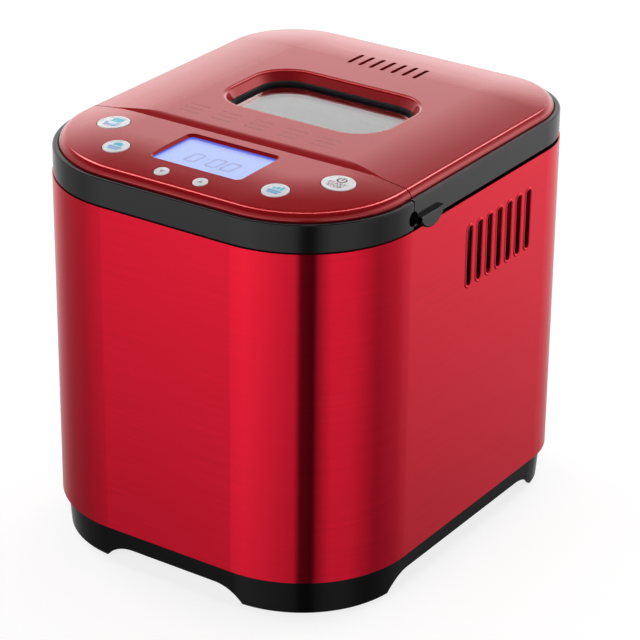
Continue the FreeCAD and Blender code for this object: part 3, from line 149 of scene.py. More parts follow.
class StageSettings(bpy.types.PropertyGroup):
    """Camera and studio."""

    camera_place: FloatVectorProperty(
        name="Camera place", description="Where the camera stands", subtype="XYZ", unit="LENGTH",
        default=(0.960701, -1.398458, 0.941139))
    camera_azimuth: FloatProperty(
        name="Camera azimuth", description="Turn from straight ahead towards the machine's right",
        default=math.radians(34.083), subtype="ANGLE")
    camera_elevation: FloatProperty(
        name="Camera elevation", description="How steeply the camera looks down",
        default=math.radians(25.452), subtype="ANGLE")
    camera_roll: FloatProperty(
        name="Camera roll", description="Lean of the picture", default=math.radians(0.596), subtype="ANGLE")
    camera_lens: FloatProperty(
        name="Camera lens", description="Focal length in millimetres on a 36 mm sensor", default=155.29)
    floor_size: FloatProperty(
        name="Floor size", description="Side of the floor", default=24.0, unit="LENGTH")
    floor_pale: colour("Floor colour", "Pale floor", (0.30, 0.30, 0.30))
    floor_glow: FloatProperty(
        name="Floor glow", description="Share of white that the camera sees in the floor", default=0.80,
        min=0.0, max=1.0)


def settings():
    """The scene's three groups of settings."""
    scene = bpy.context.scene
    return scene.bread_finish, scene.bread_detail, scene.bread_stage


# Surfaces

def grid_faces(rows, columns, wrap_rows, wrap_columns):
    """Quads of a grid: each point with its right, lower right and lower neighbour.

    A wrapped grid also joins its last row or column to its first.
    """
    row = np.arange(rows if wrap_rows else rows - 1)
    column = np.arange(columns if wrap_columns else columns - 1)
    row, column = np.meshgrid(row, column, indexing="ij")
    here = row * columns
    below = (row + 1) % rows * columns
    right = (column + 1) % columns
    corners = [here + column, here + right, below + right, below + column]
    return np.stack(corners, -1).reshape(-1, 4).tolist()


def ring_patch(points):
    """Closed tube: a grid of points that wraps both ways."""
    rows, columns, _ = points.shape
    return points.reshape(-1, 3), grid_faces(rows, columns, True, True)


def capped_patch(points):
    """Closed pot: a grid wrapped along its rows, with its first and last row filled by one face each."""
    rows, columns, _ = points.shape
    faces = grid_faces(rows, columns, False, True)
    faces.append(list(range(columns)))
    faces.append(list(range(columns * (rows - 1), columns * rows)))
    return points.reshape(-1, 3), faces


def prism_patch(outline, low, high):
    """Upright prism: a closed outline at two heights, filled above and below."""
    flat = np.asarray(outline, float)
    levels = np.stack([np.column_stack([flat, np.full(len(flat), z)]) for z in (low, high)])
    return capped_patch(levels)


def joined_mesh(name, patches, smooth_angle):
    """One mesh from several patches, with outward faces and edges sharper than an angle kept crisp."""
    points = np.concatenate([patch[0] for patch in patches])
    starts = np.cumsum([0] + [len(patch[0]) for patch in patches])
    faces = []
    for start, patch in zip(starts.tolist(), patches):
        faces += [[corner + start for corner in face] for face in patch[1]]
    mesh = bpy.data.meshes.new(name)
    mesh.from_pydata(points.tolist(), [], faces)
    work = bmesh.new()
    work.from_mesh(mesh)
    bmesh.ops.recalc_face_normals(work, faces=work.faces)
    work.to_mesh(mesh)
    work.free()
    mesh.shade_smooth()
    mesh.set_sharp_from_angle(angle=smooth_angle)
    return mesh


def add_piece(name, patches, material, body, smooth_angle=math.radians(40)):
    """Object made of patches that rides on a body and takes a record's finish."""
    piece = bpy.data.objects.new(name, joined_mesh(name, patches, smooth_angle))
    bpy.context.scene.collection.objects.link(piece)
    piece.data.materials.append(material)
    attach(piece, body)
    return piece


def crown_height(x, y):
    """Height of the rolled top: flat in the middle, and near the edge it follows the roll's circle.

    The distance to the edge is that of a rounded rectangle with the front corners' radius.
    """
    r = FRONT_CORNER - PANEL_INSET
    across = np.abs(x) - (HALF_WIDTH - PANEL_INSET - r)
    along = -y - (HALF_DEPTH - PANEL_INSET - r)
    outside = np.hypot(np.maximum(across, 0), np.maximum(along, 0))
    inside = r - outside - np.minimum(np.maximum(across, along), 0)
    run = CROWN_ROLL - CROWN_EDGE
    roll_r = (run ** 2 + CROWN_DROP ** 2 - CROWN_EDGE ** 2) / (2 * (CROWN_DROP - CROWN_EDGE))
    back = np.clip(CROWN_ROLL - inside, 0, run)
    return TOP - roll_r + np.sqrt(roll_r ** 2 - back ** 2)


def on_crown(points, lift):
    """Points whose height is taken from the rolled top under them, plus their own height and a lift."""
    raised = np.array(points, float)
    raised[..., 2] += crown_height(raised[..., 0], raised[..., 1]) + lift
    return raised


def turned(centre, radii, heights, steps):
    """Turned shape: each radius swept round the centre at its height."""
    angle = np.linspace(0, 2 * math.pi, steps, endpoint=False)
    x = centre[0] + np.outer(radii, np.cos(angle))
    y = centre[1] + np.outer(radii, np.sin(angle))
    z = np.repeat(np.asarray(heights, float)[:, None], steps, axis=1)
    return np.stack([x, y, z], -1)


def text_patch(body, height, place):
    """Thin solid lettering: the built-in font's outline, scaled to a height and moved to a place."""
    _, detail, _ = settings()
    curve = bpy.data.curves.new("lettering", "FONT")
    curve.body = body
    curve.size = 1.0
    curve.align_x = "CENTER"
    curve.align_y = "CENTER"
    curve.extrude = detail.mark_lift / (2 * height)
    curve.resolution_u = 3
    holder = bpy.data.objects.new("lettering", curve)
    bpy.context.scene.collection.objects.link(holder)
    bpy.context.view_layer.update()
    mesh = bpy.data.meshes.new_from_object(holder.evaluated_get(bpy.context.evaluated_depsgraph_get()))
    points = np.empty(len(mesh.vertices) * 3)
    mesh.vertices.foreach_get("co", points)
    faces = [list(polygon.vertices) for polygon in mesh.polygons]
    bpy.data.objects.remove(holder)
    bpy.data.curves.remove(curve)
    bpy.data.meshes.remove(mesh)
    return points.reshape(-1, 3) * height + np.array([place[0], place[1], 0.0]), faces


def bar_outline(start, end, width):
    """Round-ended bar between two points: a half circle about each end."""
    start = np.array(start, float)
    end = np.array(end, float)
    heading = math.atan2(*(end - start)[::-1])
    half = np.linspace(-math.pi / 2, math.pi / 2, BAR_END_POINTS)
    round_end = width / 2 * np.column_stack([np.cos(heading + half), np.sin(heading + half)])
    return np.concatenate([end + round_end, start - round_end])


def arc_outline(centre, r, width, start, end):
    """Band along an arc: its outer edge there, its inner edge back."""
    angle = np.linspace(start, end, ARC_POINTS)
    direction = np.column_stack([np.cos(angle), np.sin(angle)])
    outer = np.array(centre) + (r + width / 2) * direction
    inner = np.array(centre) + (r - width / 2) * direction[::-1]
    return np.concatenate([outer, inner])


# Node trees

def add_node(tree, kind, **values):
    """New node with attributes and input values set by name."""
    node = tree.nodes.new(kind)
    for name, value in values.items():
        if name in node.inputs:
            node.inputs[name].default_value = value
        else:
            setattr(node, name, value)
    return node


def noise(tree, vector, scale, detail):
    """Noise of a scale and detail on a vector."""
    node = add_node(tree, "ShaderNodeTexNoise", Scale=scale, Detail=detail)
    tree.links.new(vector, node.inputs["Vector"])
    return node.outputs["Fac"]


def remapped(tree, value, low, high, to_low, to_high):
    """A value's range stretched onto another, clamped."""
    node = add_node(tree, "ShaderNodeMapRange")
    node.inputs["From Min"].default_value = low
    node.inputs["From Max"].default_value = high
    node.inputs["To Min"].default_value = to_low
    node.inputs["To Max"].default_value = to_high
    tree.links.new(value, node.inputs["Value"])
    return node.outputs["Result"]


def spread(tree, value, margin):
    """The middle of a noise's range, a margin in from either end, stretched from nought to one."""
    return remapped(tree, value, margin, 1 - margin, 0.0, 1.0)


def maths(tree, operation, first, second):
    """Sum, product or other two-value operation on sockets or numbers."""
    node = add_node(tree, "ShaderNodeMath", operation=operation)
    for socket, value in zip(node.inputs, (first, second)):
        if isinstance(value, (int, float)):
            socket.default_value = value
        else:
            tree.links.new(value, socket)
    return node.outputs["Value"]


def new_group(name, inputs, outputs):
    """Empty shader group with named value sockets; gives the group, its entry and its exit."""
    group = bpy.data.node_groups.new(name, "ShaderNodeTree")
    for label, default in inputs.items():
        socket = group.interface.new_socket(label, in_out="INPUT", socket_type="NodeSocketFloat")
        socket.default_value = default
    for label in outputs:
        group.interface.new_socket(label, in_out="OUTPUT", socket_type="NodeSocketFloat")
    return group, group.nodes.new("NodeGroupInput"), group.nodes.new("NodeGroupOutput")


def brushed_lines():
    """Fine lines that run level round the part: noise stretched along X and Y and squeezed along Z."""
    if "brushed_lines" in bpy.data.node_groups:
        return bpy.data.node_groups["brushed_lines"]
    group, entry, leave = new_group("brushed_lines", {"Along": 10.0, "Across": 2000.0}, ["Tone", "Height"])
    place = group.nodes.new("ShaderNodeTexCoord").outputs["Object"]
    squeeze = group.nodes.new("ShaderNodeCombineXYZ")
    group.links.new(entry.outputs["Along"], squeeze.inputs["X"])
    group.links.new(entry.outputs["Along"], squeeze.inputs["Y"])
    group.links.new(entry.outputs["Across"], squeeze.inputs["Z"])
    stretched = add_node(group, "ShaderNodeVectorMath", operation="MULTIPLY")
    group.links.new(place, stretched.inputs[0])
    group.links.new(squeeze.outputs["Vector"], stretched.inputs[1])
    lines = noise(group, stretched.outputs["Vector"], scale=1.0, detail=3.0)
    group.links.new(spread(group, lines, margin=0.3), leave.inputs["Tone"])
    group.links.new(lines, leave.inputs["Height"])
    return group


def moulded_grain():
    """Fine pebbled skin of a moulding, with slow changes of tone."""
    if "moulded_grain" in bpy.data.node_groups:
        return bpy.data.node_groups["moulded_grain"]
    group, entry, leave = new_group("moulded_grain", {"Scale": 1500.0}, ["Tone", "Height"])
    place = group.nodes.new("ShaderNodeTexCoord").outputs["Object"]
    grain = add_node(group, "ShaderNodeTexNoise", Detail=2.0)
    group.links.new(place, grain.inputs["Vector"])
    group.links.new(entry.outputs["Scale"], grain.inputs["Scale"])
    slow = noise(group, place, scale=14.0, detail=3.0)
    group.links.new(spread(group, slow, margin=0.3), leave.inputs["Tone"])
    group.links.new(grain.outputs["Fac"], leave.inputs["Height"])
    return group


def hand_smudge():
    """Faint wiped patches: soft noise spread over the whole range."""
    if "hand_smudge" in bpy.data.node_groups:
        return bpy.data.node_groups["hand_smudge"]
    group, entry, leave = new_group("hand_smudge", {"Scale": 9.0}, ["Mask"])
    place = group.nodes.new("ShaderNodeTexCoord").outputs["Object"]
    cloud = add_node(group, "ShaderNodeTexNoise", Detail=1.5)
    group.links.new(place, cloud.inputs["Vector"])
    group.links.new(entry.outputs["Scale"], cloud.inputs["Scale"])
    group.links.new(spread(group, cloud.outputs["Fac"], margin=0.15), leave.inputs["Mask"])
    return group


def new_material(name, **values):
    """Material with a Principled shader whose plain values are set on its sockets."""
    material = bpy.data.materials.new(name)
    material.use_nodes = True
    shader = material.node_tree.nodes["Principled BSDF"]
    for label, value in values.items():
        shader.inputs[label.replace("_", " ")].default_value = value
    return material, material.node_tree, shader


def place_group(tree, group, **values):
    """A shared group placed in a material with its own values."""
    node = add_node(tree, "ShaderNodeGroup")
    node.node_tree = group
    for label, value in values.items():
        node.inputs[label].default_value = value
    return node


def shade_between(tree, shader, mask, dark, light):
    """Base colour that runs from one colour to another with a mask."""
    mix = add_node(tree, "ShaderNodeMix", data_type="RGBA")
    mix.inputs["A"].default_value = (*dark, 1.0)
    mix.inputs["B"].default_value = (*light, 1.0)
    tree.links.new(mask, mix.inputs["Factor"])
    tree.links.new(mix.outputs["Result"], shader.inputs["Base Color"])


def vary(tree, shader, label, mask, low, high):
    """Shader input that runs from one value to another with a mask."""
    tree.links.new(remapped(tree, mask, 0.0, 1.0, low, high), shader.inputs[label])


def bump(tree, shader, height, distance, strength):
    """Relief from a height value."""
    node = add_node(tree, "ShaderNodeBump", Strength=strength, Distance=distance)
    tree.links.new(height, node.inputs["Height"])
    tree.links.new(node.outputs["Normal"], shader.inputs["Normal"])


def scaled(colour, factor):
    """A colour made darker or lighter."""
    return tuple(min(1.0, channel * factor) for channel in colour)


# Finishes

def red_metal():
    """Brushed sheet under red lacquer: level lines change its tone, gloss and relief."""
    finish, _, _ = settings()
    _, tree, shader = new_material(
        "red_metal", Metallic=1.0, Anisotropic=1.0, Anisotropic_Rotation=0.25)
    lines = place_group(tree, brushed_lines(), Along=14.0, Across=2600.0)
    smudge = place_group(tree, hand_smudge(), Scale=7.0)
    dark = scaled(finish.housing_red, 0.94)
    light = scaled(finish.housing_red, 1.06)
    shade_between(tree, shader, lines.outputs["Tone"], dark, light)
    line_gloss = remapped(tree, lines.outputs["Tone"], 0.0, 1.0, to_low=0.14, to_high=0.17)
    wiped = maths(tree, "MULTIPLY", smudge.outputs["Mask"], 0.02)
    tree.links.new(maths(tree, "ADD", line_gloss, wiped), shader.inputs["Roughness"])
    bump(tree, shader, lines.outputs["Height"], distance=0.02 * MM, strength=0.1)
    tangent = add_node(tree, "ShaderNodeTangent", direction_type="RADIAL", axis="Z")
    tree.links.new(tangent.outputs["Tangent"], shader.inputs["Tangent"])


def red_gloss():
    """Gloss red moulding with a clear coat, faint waviness and wiped patches."""
    finish, _, _ = settings()
    _, tree, shader = new_material(
        "red_gloss", Metallic=0.4, Roughness=0.22, Coat_Roughness=0.04, Specular_IOR_Level=0.0)
    grain = place_group(tree, moulded_grain(), Scale=320.0)
    smudge = place_group(tree, hand_smudge(), Scale=11.0)
    dark = scaled(finish.top_red, 0.97)
    light = scaled(finish.top_red, 1.03)
    shade_between(tree, shader, grain.outputs["Tone"], dark, light)
    vary(tree, shader, "Coat Weight", smudge.outputs["Mask"], low=0.95, high=0.85)
    bump(tree, shader, grain.outputs["Height"], distance=0.02 * MM, strength=0.05)


def black_plastic():
    """Satin black moulding with a fine pebbled skin."""
    finish, _, _ = settings()
    _, tree, shader = new_material("black_plastic", Specular_IOR_Level=0.5)
    grain = place_group(tree, moulded_grain(), Scale=1800.0)
    smudge = place_group(tree, hand_smudge(), Scale=8.0)
    dark = scaled(finish.band_black, 0.85)
    light = scaled(finish.band_black, 1.2)
    shade_between(tree, shader, grain.outputs["Tone"], dark, light)
    vary(tree, shader, "Roughness", smudge.outputs["Mask"], low=0.13, high=0.19)
    bump(tree, shader, grain.outputs["Height"], distance=0.03 * MM, strength=0.1)


def clear_glass():
    """Window glass with faint wiped patches."""
    _, tree, shader = new_material(
        "clear_glass", Base_Color=(0.90, 0.91, 0.90, 1.0), IOR=1.52, Transmission_Weight=1.0, Coat_Weight=1.0,
        Coat_Roughness=0.03, Coat_IOR=1.8)
    smudge = place_group(tree, hand_smudge(), Scale=16.0)
    vary(tree, shader, "Roughness", smudge.outputs["Mask"], low=0.02, high=0.06)


def display_lens():
    """Clear plate over the display."""
    _, tree, shader = new_material(
        "display_lens", Base_Color=(0.95, 0.96, 1.0, 1.0), IOR=1.45, Transmission_Weight=1.0)
    smudge = place_group(tree, hand_smudge(), Scale=24.0)
    vary(tree, shader, "Roughness", smudge.outputs["Mask"], low=0.04, high=0.09)


def display():
    """Backlit display: pale in the middle, with painted shade of its recess deepening the glow along the far
    and the left edge.
    """
    finish, _, _ = settings()
    _, tree, shader = new_material(
        "display", Base_Color=(0.02, 0.03, 0.08, 1.0), Roughness=0.5, Emission_Strength=1.0)
    low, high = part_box("lcd_lens")
    parts = add_node(tree, "ShaderNodeSeparateXYZ")
    tree.links.new(add_node(tree, "ShaderNodeTexCoord").outputs["Object"], parts.inputs["Vector"])
    # Painted shade of the recess: the glow deepens from the pale middle towards the left and the far edge
    left_shade_span = (low.x + 3 * MM, low.x + 9 * MM)
    far_shade_span = (high.y - 11 * MM, high.y - 4 * MM)
    left = remapped(tree, parts.outputs["X"], *left_shade_span, to_low=0.0, to_high=1.0)
    far = remapped(tree, parts.outputs["Y"], *far_shade_span, to_low=1.0, to_high=0.0)
    smudge = place_group(tree, hand_smudge(), Scale=18.0)
    patchy = remapped(tree, smudge.outputs["Mask"], 0.0, 1.0, to_low=0.92, to_high=1.0)
    # Deep end of this mix is the painted recess shade; the pale end is the backlight
    mix = add_node(tree, "ShaderNodeMix", data_type="RGBA")
    mix.inputs["A"].default_value = (*finish.display_recess_shade, 1.0)
    mix.inputs["B"].default_value = (*finish.display_pale, 1.0)
    inside = maths(tree, "MINIMUM", left, far)
    tree.links.new(maths(tree, "MULTIPLY", inside, patchy), mix.inputs["Factor"])
    tree.links.new(mix.outputs["Result"], shader.inputs["Emission Color"])


def steel_plate():
    """Galvanised or polished steel with fine drawn lines and soft patches."""
    _, tree, shader = new_material("steel_plate", Metallic=1.0)
    lines = place_group(tree, brushed_lines(), Along=30.0, Across=900.0)
    smudge = place_group(tree, hand_smudge(), Scale=30.0)
    shade_between(tree, shader, smudge.outputs["Mask"], (0.50, 0.50, 0.50), (0.66, 0.66, 0.65))
    vary(tree, shader, "Roughness", lines.outputs["Tone"], low=0.26, high=0.42)
    bump(tree, shader, lines.outputs["Height"], distance=0.03 * MM, strength=0.2)


def nonstick():
    """Dark coating with pale flecks."""
    _, tree, shader = new_material("nonstick", Metallic=0.3)
    place = tree.nodes.new("ShaderNodeTexCoord").outputs["Object"]
    speckle = noise(tree, place, scale=900.0, detail=2.0)
    flecks = remapped(tree, speckle, low=0.62, high=0.72, to_low=0.0, to_high=1.0)
    grain = place_group(tree, moulded_grain(), Scale=1200.0)
    shade_between(tree, shader, flecks, (0.035, 0.035, 0.036), (0.16, 0.16, 0.16))
    vary(tree, shader, "Roughness", grain.outputs["Tone"], low=0.30, high=0.42)
    bump(tree, shader, grain.outputs["Height"], distance=0.04 * MM, strength=0.25)


OWN_FINISHES = [
    red_metal, red_gloss, black_plastic, clear_glass, display_lens, display, steel_plate, nonstick,
]

# Moulded and cast finishes: dark and light tone, roughness of each, scale and depth of the grain, metal share
GRAINED = {
    "black_rubber": ((0.010, 0.010, 0.010), (0.020, 0.020, 0.020), (0.6, 0.75), 1400.0, 0.05 * MM, 0.0),
    "belt_rubber": ((0.016, 0.016, 0.016), (0.030, 0.030, 0.030), (0.65, 0.8), 1000.0, 0.06 * MM, 0.0),
    "pulley_plastic": ((0.74, 0.73, 0.68), (0.82, 0.81, 0.77), (0.4, 0.55), 900.0, 0.04 * MM, 0.0),
    "ceramic": ((0.78, 0.76, 0.70), (0.86, 0.84, 0.79), (0.15, 0.3), 500.0, 0.03 * MM, 0.0),
    "circuit_board": ((0.025, 0.16, 0.06), (0.045, 0.23, 0.09), (0.3, 0.4), 700.0, 0.03 * MM, 0.0),
    "transformer": ((0.08, 0.08, 0.085), (0.16, 0.15, 0.15), (0.35, 0.55), 600.0, 0.05 * MM, 0.4),
    "heater_steel": ((0.10, 0.09, 0.085), (0.24, 0.22, 0.20), (0.35, 0.5), 700.0, 0.04 * MM, 1.0),
    "cast_metal": ((0.52, 0.52, 0.54), (0.66, 0.66, 0.68), (0.32, 0.48), 1100.0, 0.05 * MM, 1.0),
    "bronze": ((0.48, 0.30, 0.13), (0.64, 0.42, 0.20), (0.35, 0.5), 1600.0, 0.04 * MM, 1.0),
    "icon_slate": ((0.30, 0.34, 0.40), (0.36, 0.40, 0.46), (0.35, 0.45), 900.0, 0.01 * MM, 0.0),
    "digit_ink": ((0.27, 0.30, 0.68), (0.30, 0.33, 0.73), (0.4, 0.5), 900.0, 0.01 * MM, 0.0),
}

# Lacquers and inks in the settings' colours: colour, its share in the dark tone, roughness of each tone,
# depth of the grain, metal share
INKED = {
    "silver_button": ("cap_silver", 0.92, (0.20, 0.30), 0.02 * MM, 0.1),
    "blue_button": ("cap_blue", 0.93, (0.24, 0.34), 0.02 * MM, 0.0),
    "print_ink": ("print_ink", 0.9, (0.35, 0.45), 0.01 * MM, 0.0),
    "icon_red": ("icon_red", 0.9, (0.35, 0.45), 0.01 * MM, 0.0),
    "icon_cyan": ("cap_cyan", 0.9, (0.35, 0.45), 0.01 * MM, 0.0),
}
INK_GRAIN = 900.0


def grained(name, dark, light, rough, scale, relief, metal):
    """Moulded or cast finish between two tones, its roughness following the same slow tone."""
    _, tree, shader = new_material(name, Metallic=metal)
    grain = place_group(tree, moulded_grain(), Scale=scale)
    shade_between(tree, shader, grain.outputs["Tone"], dark, light)
    vary(tree, shader, "Roughness", grain.outputs["Tone"], *rough)
    bump(tree, shader, grain.outputs["Height"], distance=relief, strength=0.3)


def inked(name, label, share, rough, relief, metal):
    """Lacquer or ink between a colour of the settings and a share of it."""
    tone = getattr(settings()[0], label)
    grained(name, scaled(tone, share), tone, rough, INK_GRAIN, relief, metal)


def finish_named(name):
    """A finish made once and then found again."""
    if name not in bpy.data.materials:
        if name in GRAINED:
            grained(name, *GRAINED[name])
        elif name in INKED:
            inked(name, *INKED[name])
        else:
            {make.__name__: make for make in OWN_FINISHES}[name]()
    return bpy.data.materials[name]


# Operators

class BREAD_OT_finishes(bpy.types.Operator):
    """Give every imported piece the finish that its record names"""

    bl_idname = "bread.finishes"
    bl_label = "Finish the packed pieces"

    def execute(self, context):
        for material in list(bpy.data.materials):
            bpy.data.materials.remove(material)
        for row in frame["record"]["subparts"]:
            node = frame["nodes"][row["node"]]
            node.data.materials.clear()
            node.data.materials.append(finish_named(row["material_slot"]))
        return {"FINISHED"}


class BREAD_OT_vent_lips(bpy.types.Operator):
    """Rolled rims round the housing's side slots"""

    bl_idname = "bread.vent_lips"
    bl_label = "Roll the slot rims"

    end_points = 17
    tube_points = 14

    def execute(self, context):
        _, detail, _ = settings()
        for name, side in (("vent_lips_left", -1), ("vent_lips_right", 1)):
            patches = [ring_patch(self.rim(detail, index, side)) for index in range(detail.vent_count)]
            add_piece(name, patches, finish_named("red_metal"), "machine")
        return {"FINISHED"}

    def rim(self, detail, index, side):
        """Ellipse carried round a slot: two half circles, each about its own end of the slot."""
        half_turn = np.linspace(0, math.pi, self.end_points)
        heading = np.concatenate([half_turn, half_turn + math.pi])
        reach = (detail.vent_length - detail.vent_width) / 2
        end = np.repeat([reach, -reach], len(half_turn))
        around = np.linspace(0, 2 * math.pi, self.tube_points, endpoint=False)
        out = detail.lip_half_width * (1 + np.cos(around))
        proud = detail.lip_proud + detail.lip_half_height * (np.sin(around) - 1)
        r = detail.vent_width / 2 + out
        y = np.outer(np.cos(heading), r)
        z = np.outer(np.sin(heading), r) + end[:, None]
        x = np.repeat((HALF_WIDTH + proud)[None, :], len(heading), axis=0)
        place_y = detail.vent_shift + (index - (detail.vent_count - 1) / 2) * detail.vent_pitch
        place_z = SLEEVE_HIGH.z - detail.vent_drop - detail.vent_length / 2
        return np.stack([side * x, y + place_y, z + place_z], -1)


def button_place(node):
    """Middle and radius of a button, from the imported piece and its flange."""
    low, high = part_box(node)
    centre = ((low.x + high.x) / 2, (low.y + high.y) / 2)
    return centre, (high.x - low.x) / 2 - BUTTON_FLANGE


class BREAD_OT_button_caps(bpy.types.Operator):
    """Button caps: a bright ring around a face that lies a little deeper"""

    bl_idname = "bread.button_caps"
    bl_label = "Make the button caps"

    steps = 72
    bead_points = 9
    face_points = 12
    hub_r = 0.1 * MM
    seat_gap = 0.05 * MM
    # Depths of the ring's seat and of the face's underside, as shares of the ring's sink
    seat_share = 2.0
    foot_share = 1.9

    def execute(self, context):
        _, detail, _ = settings()
        silver = finish_named("silver_button")
        for body, node in BUTTONS.items():
            centre, r = button_place(node)
            ring_patches = [capped_patch(self.ring(detail, centre, r))]
            face_patches = [capped_patch(self.face(detail, centre, r))]
            ring = add_piece(body + "_ring", ring_patches, silver, body)
            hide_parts(node)
            add_piece(body + "_face", face_patches, silver, body)
        return {"FINISHED"}

    def ring(self, detail, centre, r):
        """Turned cap: floor of the face's seat, half-round bead at the rim, wall down into the panel."""
        bead = detail.ring_share * r / 2
        arch = np.linspace(math.pi, 0, self.bead_points)
        sunk = -detail.ring_sink * self.seat_share
        radii = np.concatenate([[self.hub_r, r - 2 * bead], r - bead + bead * np.cos(arch), [r]])
        heights = np.concatenate([[sunk, sunk], detail.ring_sink * (np.sin(arch) - 1), [-detail.cap_depth]])
        return on_crown(turned(centre, radii, heights, self.steps), BUTTON_PROUD)

    def face(self, detail, centre, r):
        """Turned disc: gently crowned top, rounded rim, flat underside in the ring's seat."""
        reach = r - detail.ring_share * r - self.seat_gap
        share = np.linspace(0, 1, self.face_points)[1:]
        radii = np.concatenate([[self.hub_r], reach * share, [reach, self.hub_r]])
        top = -detail.ring_sink * (FACE_CROWN + (1 - FACE_CROWN) * share ** 4)
        low = -detail.ring_sink * self.foot_share
        heights = np.concatenate([[-detail.ring_sink * FACE_CROWN], top, [low, low]])
        return on_crown(turned(centre, radii, heights, self.steps), BUTTON_PROUD)


class BREAD_OT_button_icons(bpy.types.Operator):
    """Plain marks on the button faces"""

    bl_idname = "bread.button_icons"
    bl_label = "Print the button marks"

    # Triangle that points up, in shares of the button's radius
    arrow = np.array([(-0.38, -0.26), (0.38, -0.26), (0.0, 0.40)])
    dome_points = 21

    def execute(self, context):
        _, detail, _ = settings()
        marks = {
            "menu": {"blue_button": self.label_mark, "icon_cyan": self.list_mark},
            "start_stop": {"icon_red": self.power_mark},
            "loaf": {"blue_button": self.label_mark, "icon_cyan": self.loaf_mark},
            "crust": {"blue_button": self.label_mark, "icon_cyan": self.crust_mark},
            "time_down": {"icon_slate": self.down_mark},
            "time_up": {"icon_slate": self.up_mark},
        }
        lift = BUTTON_PROUD - detail.ring_sink * FACE_CROWN
        for body, inks in marks.items():
            centre, r = button_place(BUTTONS[body])
            for ink, draw in inks.items():
                patches = []
                for points, faces in draw(r, detail.mark_lift):
                    moved = points + np.array([centre[0], centre[1], 0.0])
                    patches.append((on_crown(moved, lift - detail.mark_lift / 2), faces))
                add_piece(body + "_" + ink, patches, finish_named(ink), body)
        return {"FINISHED"}

    def label_mark(self, r, thick):
        """Two broad level bars in the lower half."""
        rows = ((-0.16, 0.46), (-0.42, 0.36))
        return [
            prism_patch(bar_outline((-reach * r, y * r), (reach * r, y * r), 0.22 * r), 0, thick)
            for y, reach in rows
        ]

    def list_mark(self, r, thick):
        """Three level bars, one above the other, in the upper half."""
        rows = np.array([0.14, 0.34, 0.54]) * r
        return [prism_patch(bar_outline((-0.26 * r, y), (0.36 * r, y), 0.17 * r), 0, thick) for y in rows]

    def power_mark(self, r, thick):
        """Open ring with an upright bar, over two short words."""
        stroke = 0.10 * r
        letter_height = 0.40 * r
        ring = arc_outline((0.0, 0.36 * r), 0.27 * r, stroke, math.radians(120), math.radians(420))
        bar = bar_outline((0.0, 0.38 * r), (0.0, 0.66 * r), stroke)
        rise = np.array([0.0, 0.0, thick / 2])
        patches = [prism_patch(ring, 0, thick), prism_patch(bar, 0, thick)]
        for word, y in (("START", -0.16), ("STOP", -0.50)):
            points, faces = text_patch(word, letter_height, (0.0, y * r))
            patches.append((points + rise, faces))
        return patches

    def loaf_mark(self, r, thick):
        """Loaf from the side: straight sides under a half circle."""
        angle = np.linspace(0, math.pi, self.dome_points)
        dome = np.column_stack([0.36 * np.cos(angle), 0.32 + 0.26 * np.sin(angle)])
        return [prism_patch(r * np.concatenate([dome, [(-0.36, 0.08), (0.36, 0.08)]]), 0, thick)]

    def crust_mark(self, r, thick):
        """Three bars that grow from left to right."""
        heights = ((-0.26, 0.26), (0.04, 0.40), (0.34, 0.52))
        return [
            prism_patch(bar_outline((x * r, 0.16 * r), (x * r, top * r), 0.22 * r), 0, thick)
            for x, top in heights
        ]

    def up_mark(self, r, thick):
        """Triangle that points up."""
        return [prism_patch(r * self.arrow, 0, thick)]

    def down_mark(self, r, thick):
        """Triangle that points down."""
        return [prism_patch(-r * self.arrow, 0, thick)]


class BREAD_OT_display(bpy.types.Operator):
    """Segment digits on the display"""

    bl_idname = "bread.display"
    bl_label = "Show the display's digits"

    digits: StringProperty(name="Digits", description="Numerals shown on the display", default="0:00")

    # Segments that each numeral lights: top, upper left, upper right, middle, lower left, lower right, foot
    segments = {
        "0": "1110111", "1": "0010010", "2": "1011101", "3": "1011011", "4": "0111010",
        "5": "1101011", "6": "1101111", "7": "1010010", "8": "1111111", "9": "1111011",
    }
    digit_height = 13.0 * MM
    digit_width = 7.5 * MM
    digit_step = 11.3 * MM
    bar_width = 1.3 * MM
    lean = 0.09
    shift = (2.0 * MM, -5.0 * MM)
    # Width of a colon in digits, room at a bar's ends in bar widths, and half the length of a dot's bar
    colon_share = 0.45
    gap_share = 0.72
    dot_reach = 0.01 * MM

    def execute(self, context):
        _, detail, _ = settings()
        low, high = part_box("lcd_module")
        middle = np.array([(low.x + high.x) / 2, (low.y + high.y) / 2]) + self.shift
        widths = [self.colon_share if symbol == ":" else 1.0 for symbol in self.digits]
        ends = np.cumsum(widths) * self.digit_step
        starts = ends - np.array(widths) * self.digit_step
        foot = high.z - detail.mark_lift / 2
        top = high.z + detail.mark_lift
        patches = []
        for symbol, start, end in zip(self.digits, starts, ends):
            place = middle + np.array([(start + end - ends[-1]) / 2, 0.0])
            outlines = self.colon() if symbol == ":" else self.numeral(symbol)
            for outline in outlines:
                leant = outline + np.column_stack([outline[:, 1] * self.lean, np.zeros(len(outline))])
                patches.append(prism_patch(leant + place, foot, top))
        add_piece("display_digits", patches, finish_named("digit_ink"), "machine")
        return {"FINISHED"}

    def numeral(self, symbol):
        """Bars between the corners of a tall figure of eight, drawn short of the corners."""
        x = self.digit_width / 2
        y = self.digit_height / 2
        gap = self.bar_width * self.gap_share
        bars = [
            ((-x + gap, y), (x - gap, y)), ((-x, gap), (-x, y - gap)), ((x, gap), (x, y - gap)),
            ((-x + gap, 0), (x - gap, 0)), ((-x, -y + gap), (-x, -gap)), ((x, -y + gap), (x, -gap)),
            ((-x + gap, -y), (x - gap, -y)),
        ]
        lit = [bar for bar, state in zip(bars, self.segments[symbol]) if state == "1"]
        return [bar_outline(start, end, self.bar_width) for start, end in lit]

    def colon(self):
        """Two dots, each a bar of almost no length."""
        dots = (self.digit_height / 5, -self.digit_height / 5)
        return [bar_outline((-self.dot_reach, y), (self.dot_reach, y), self.bar_width) for y in dots]


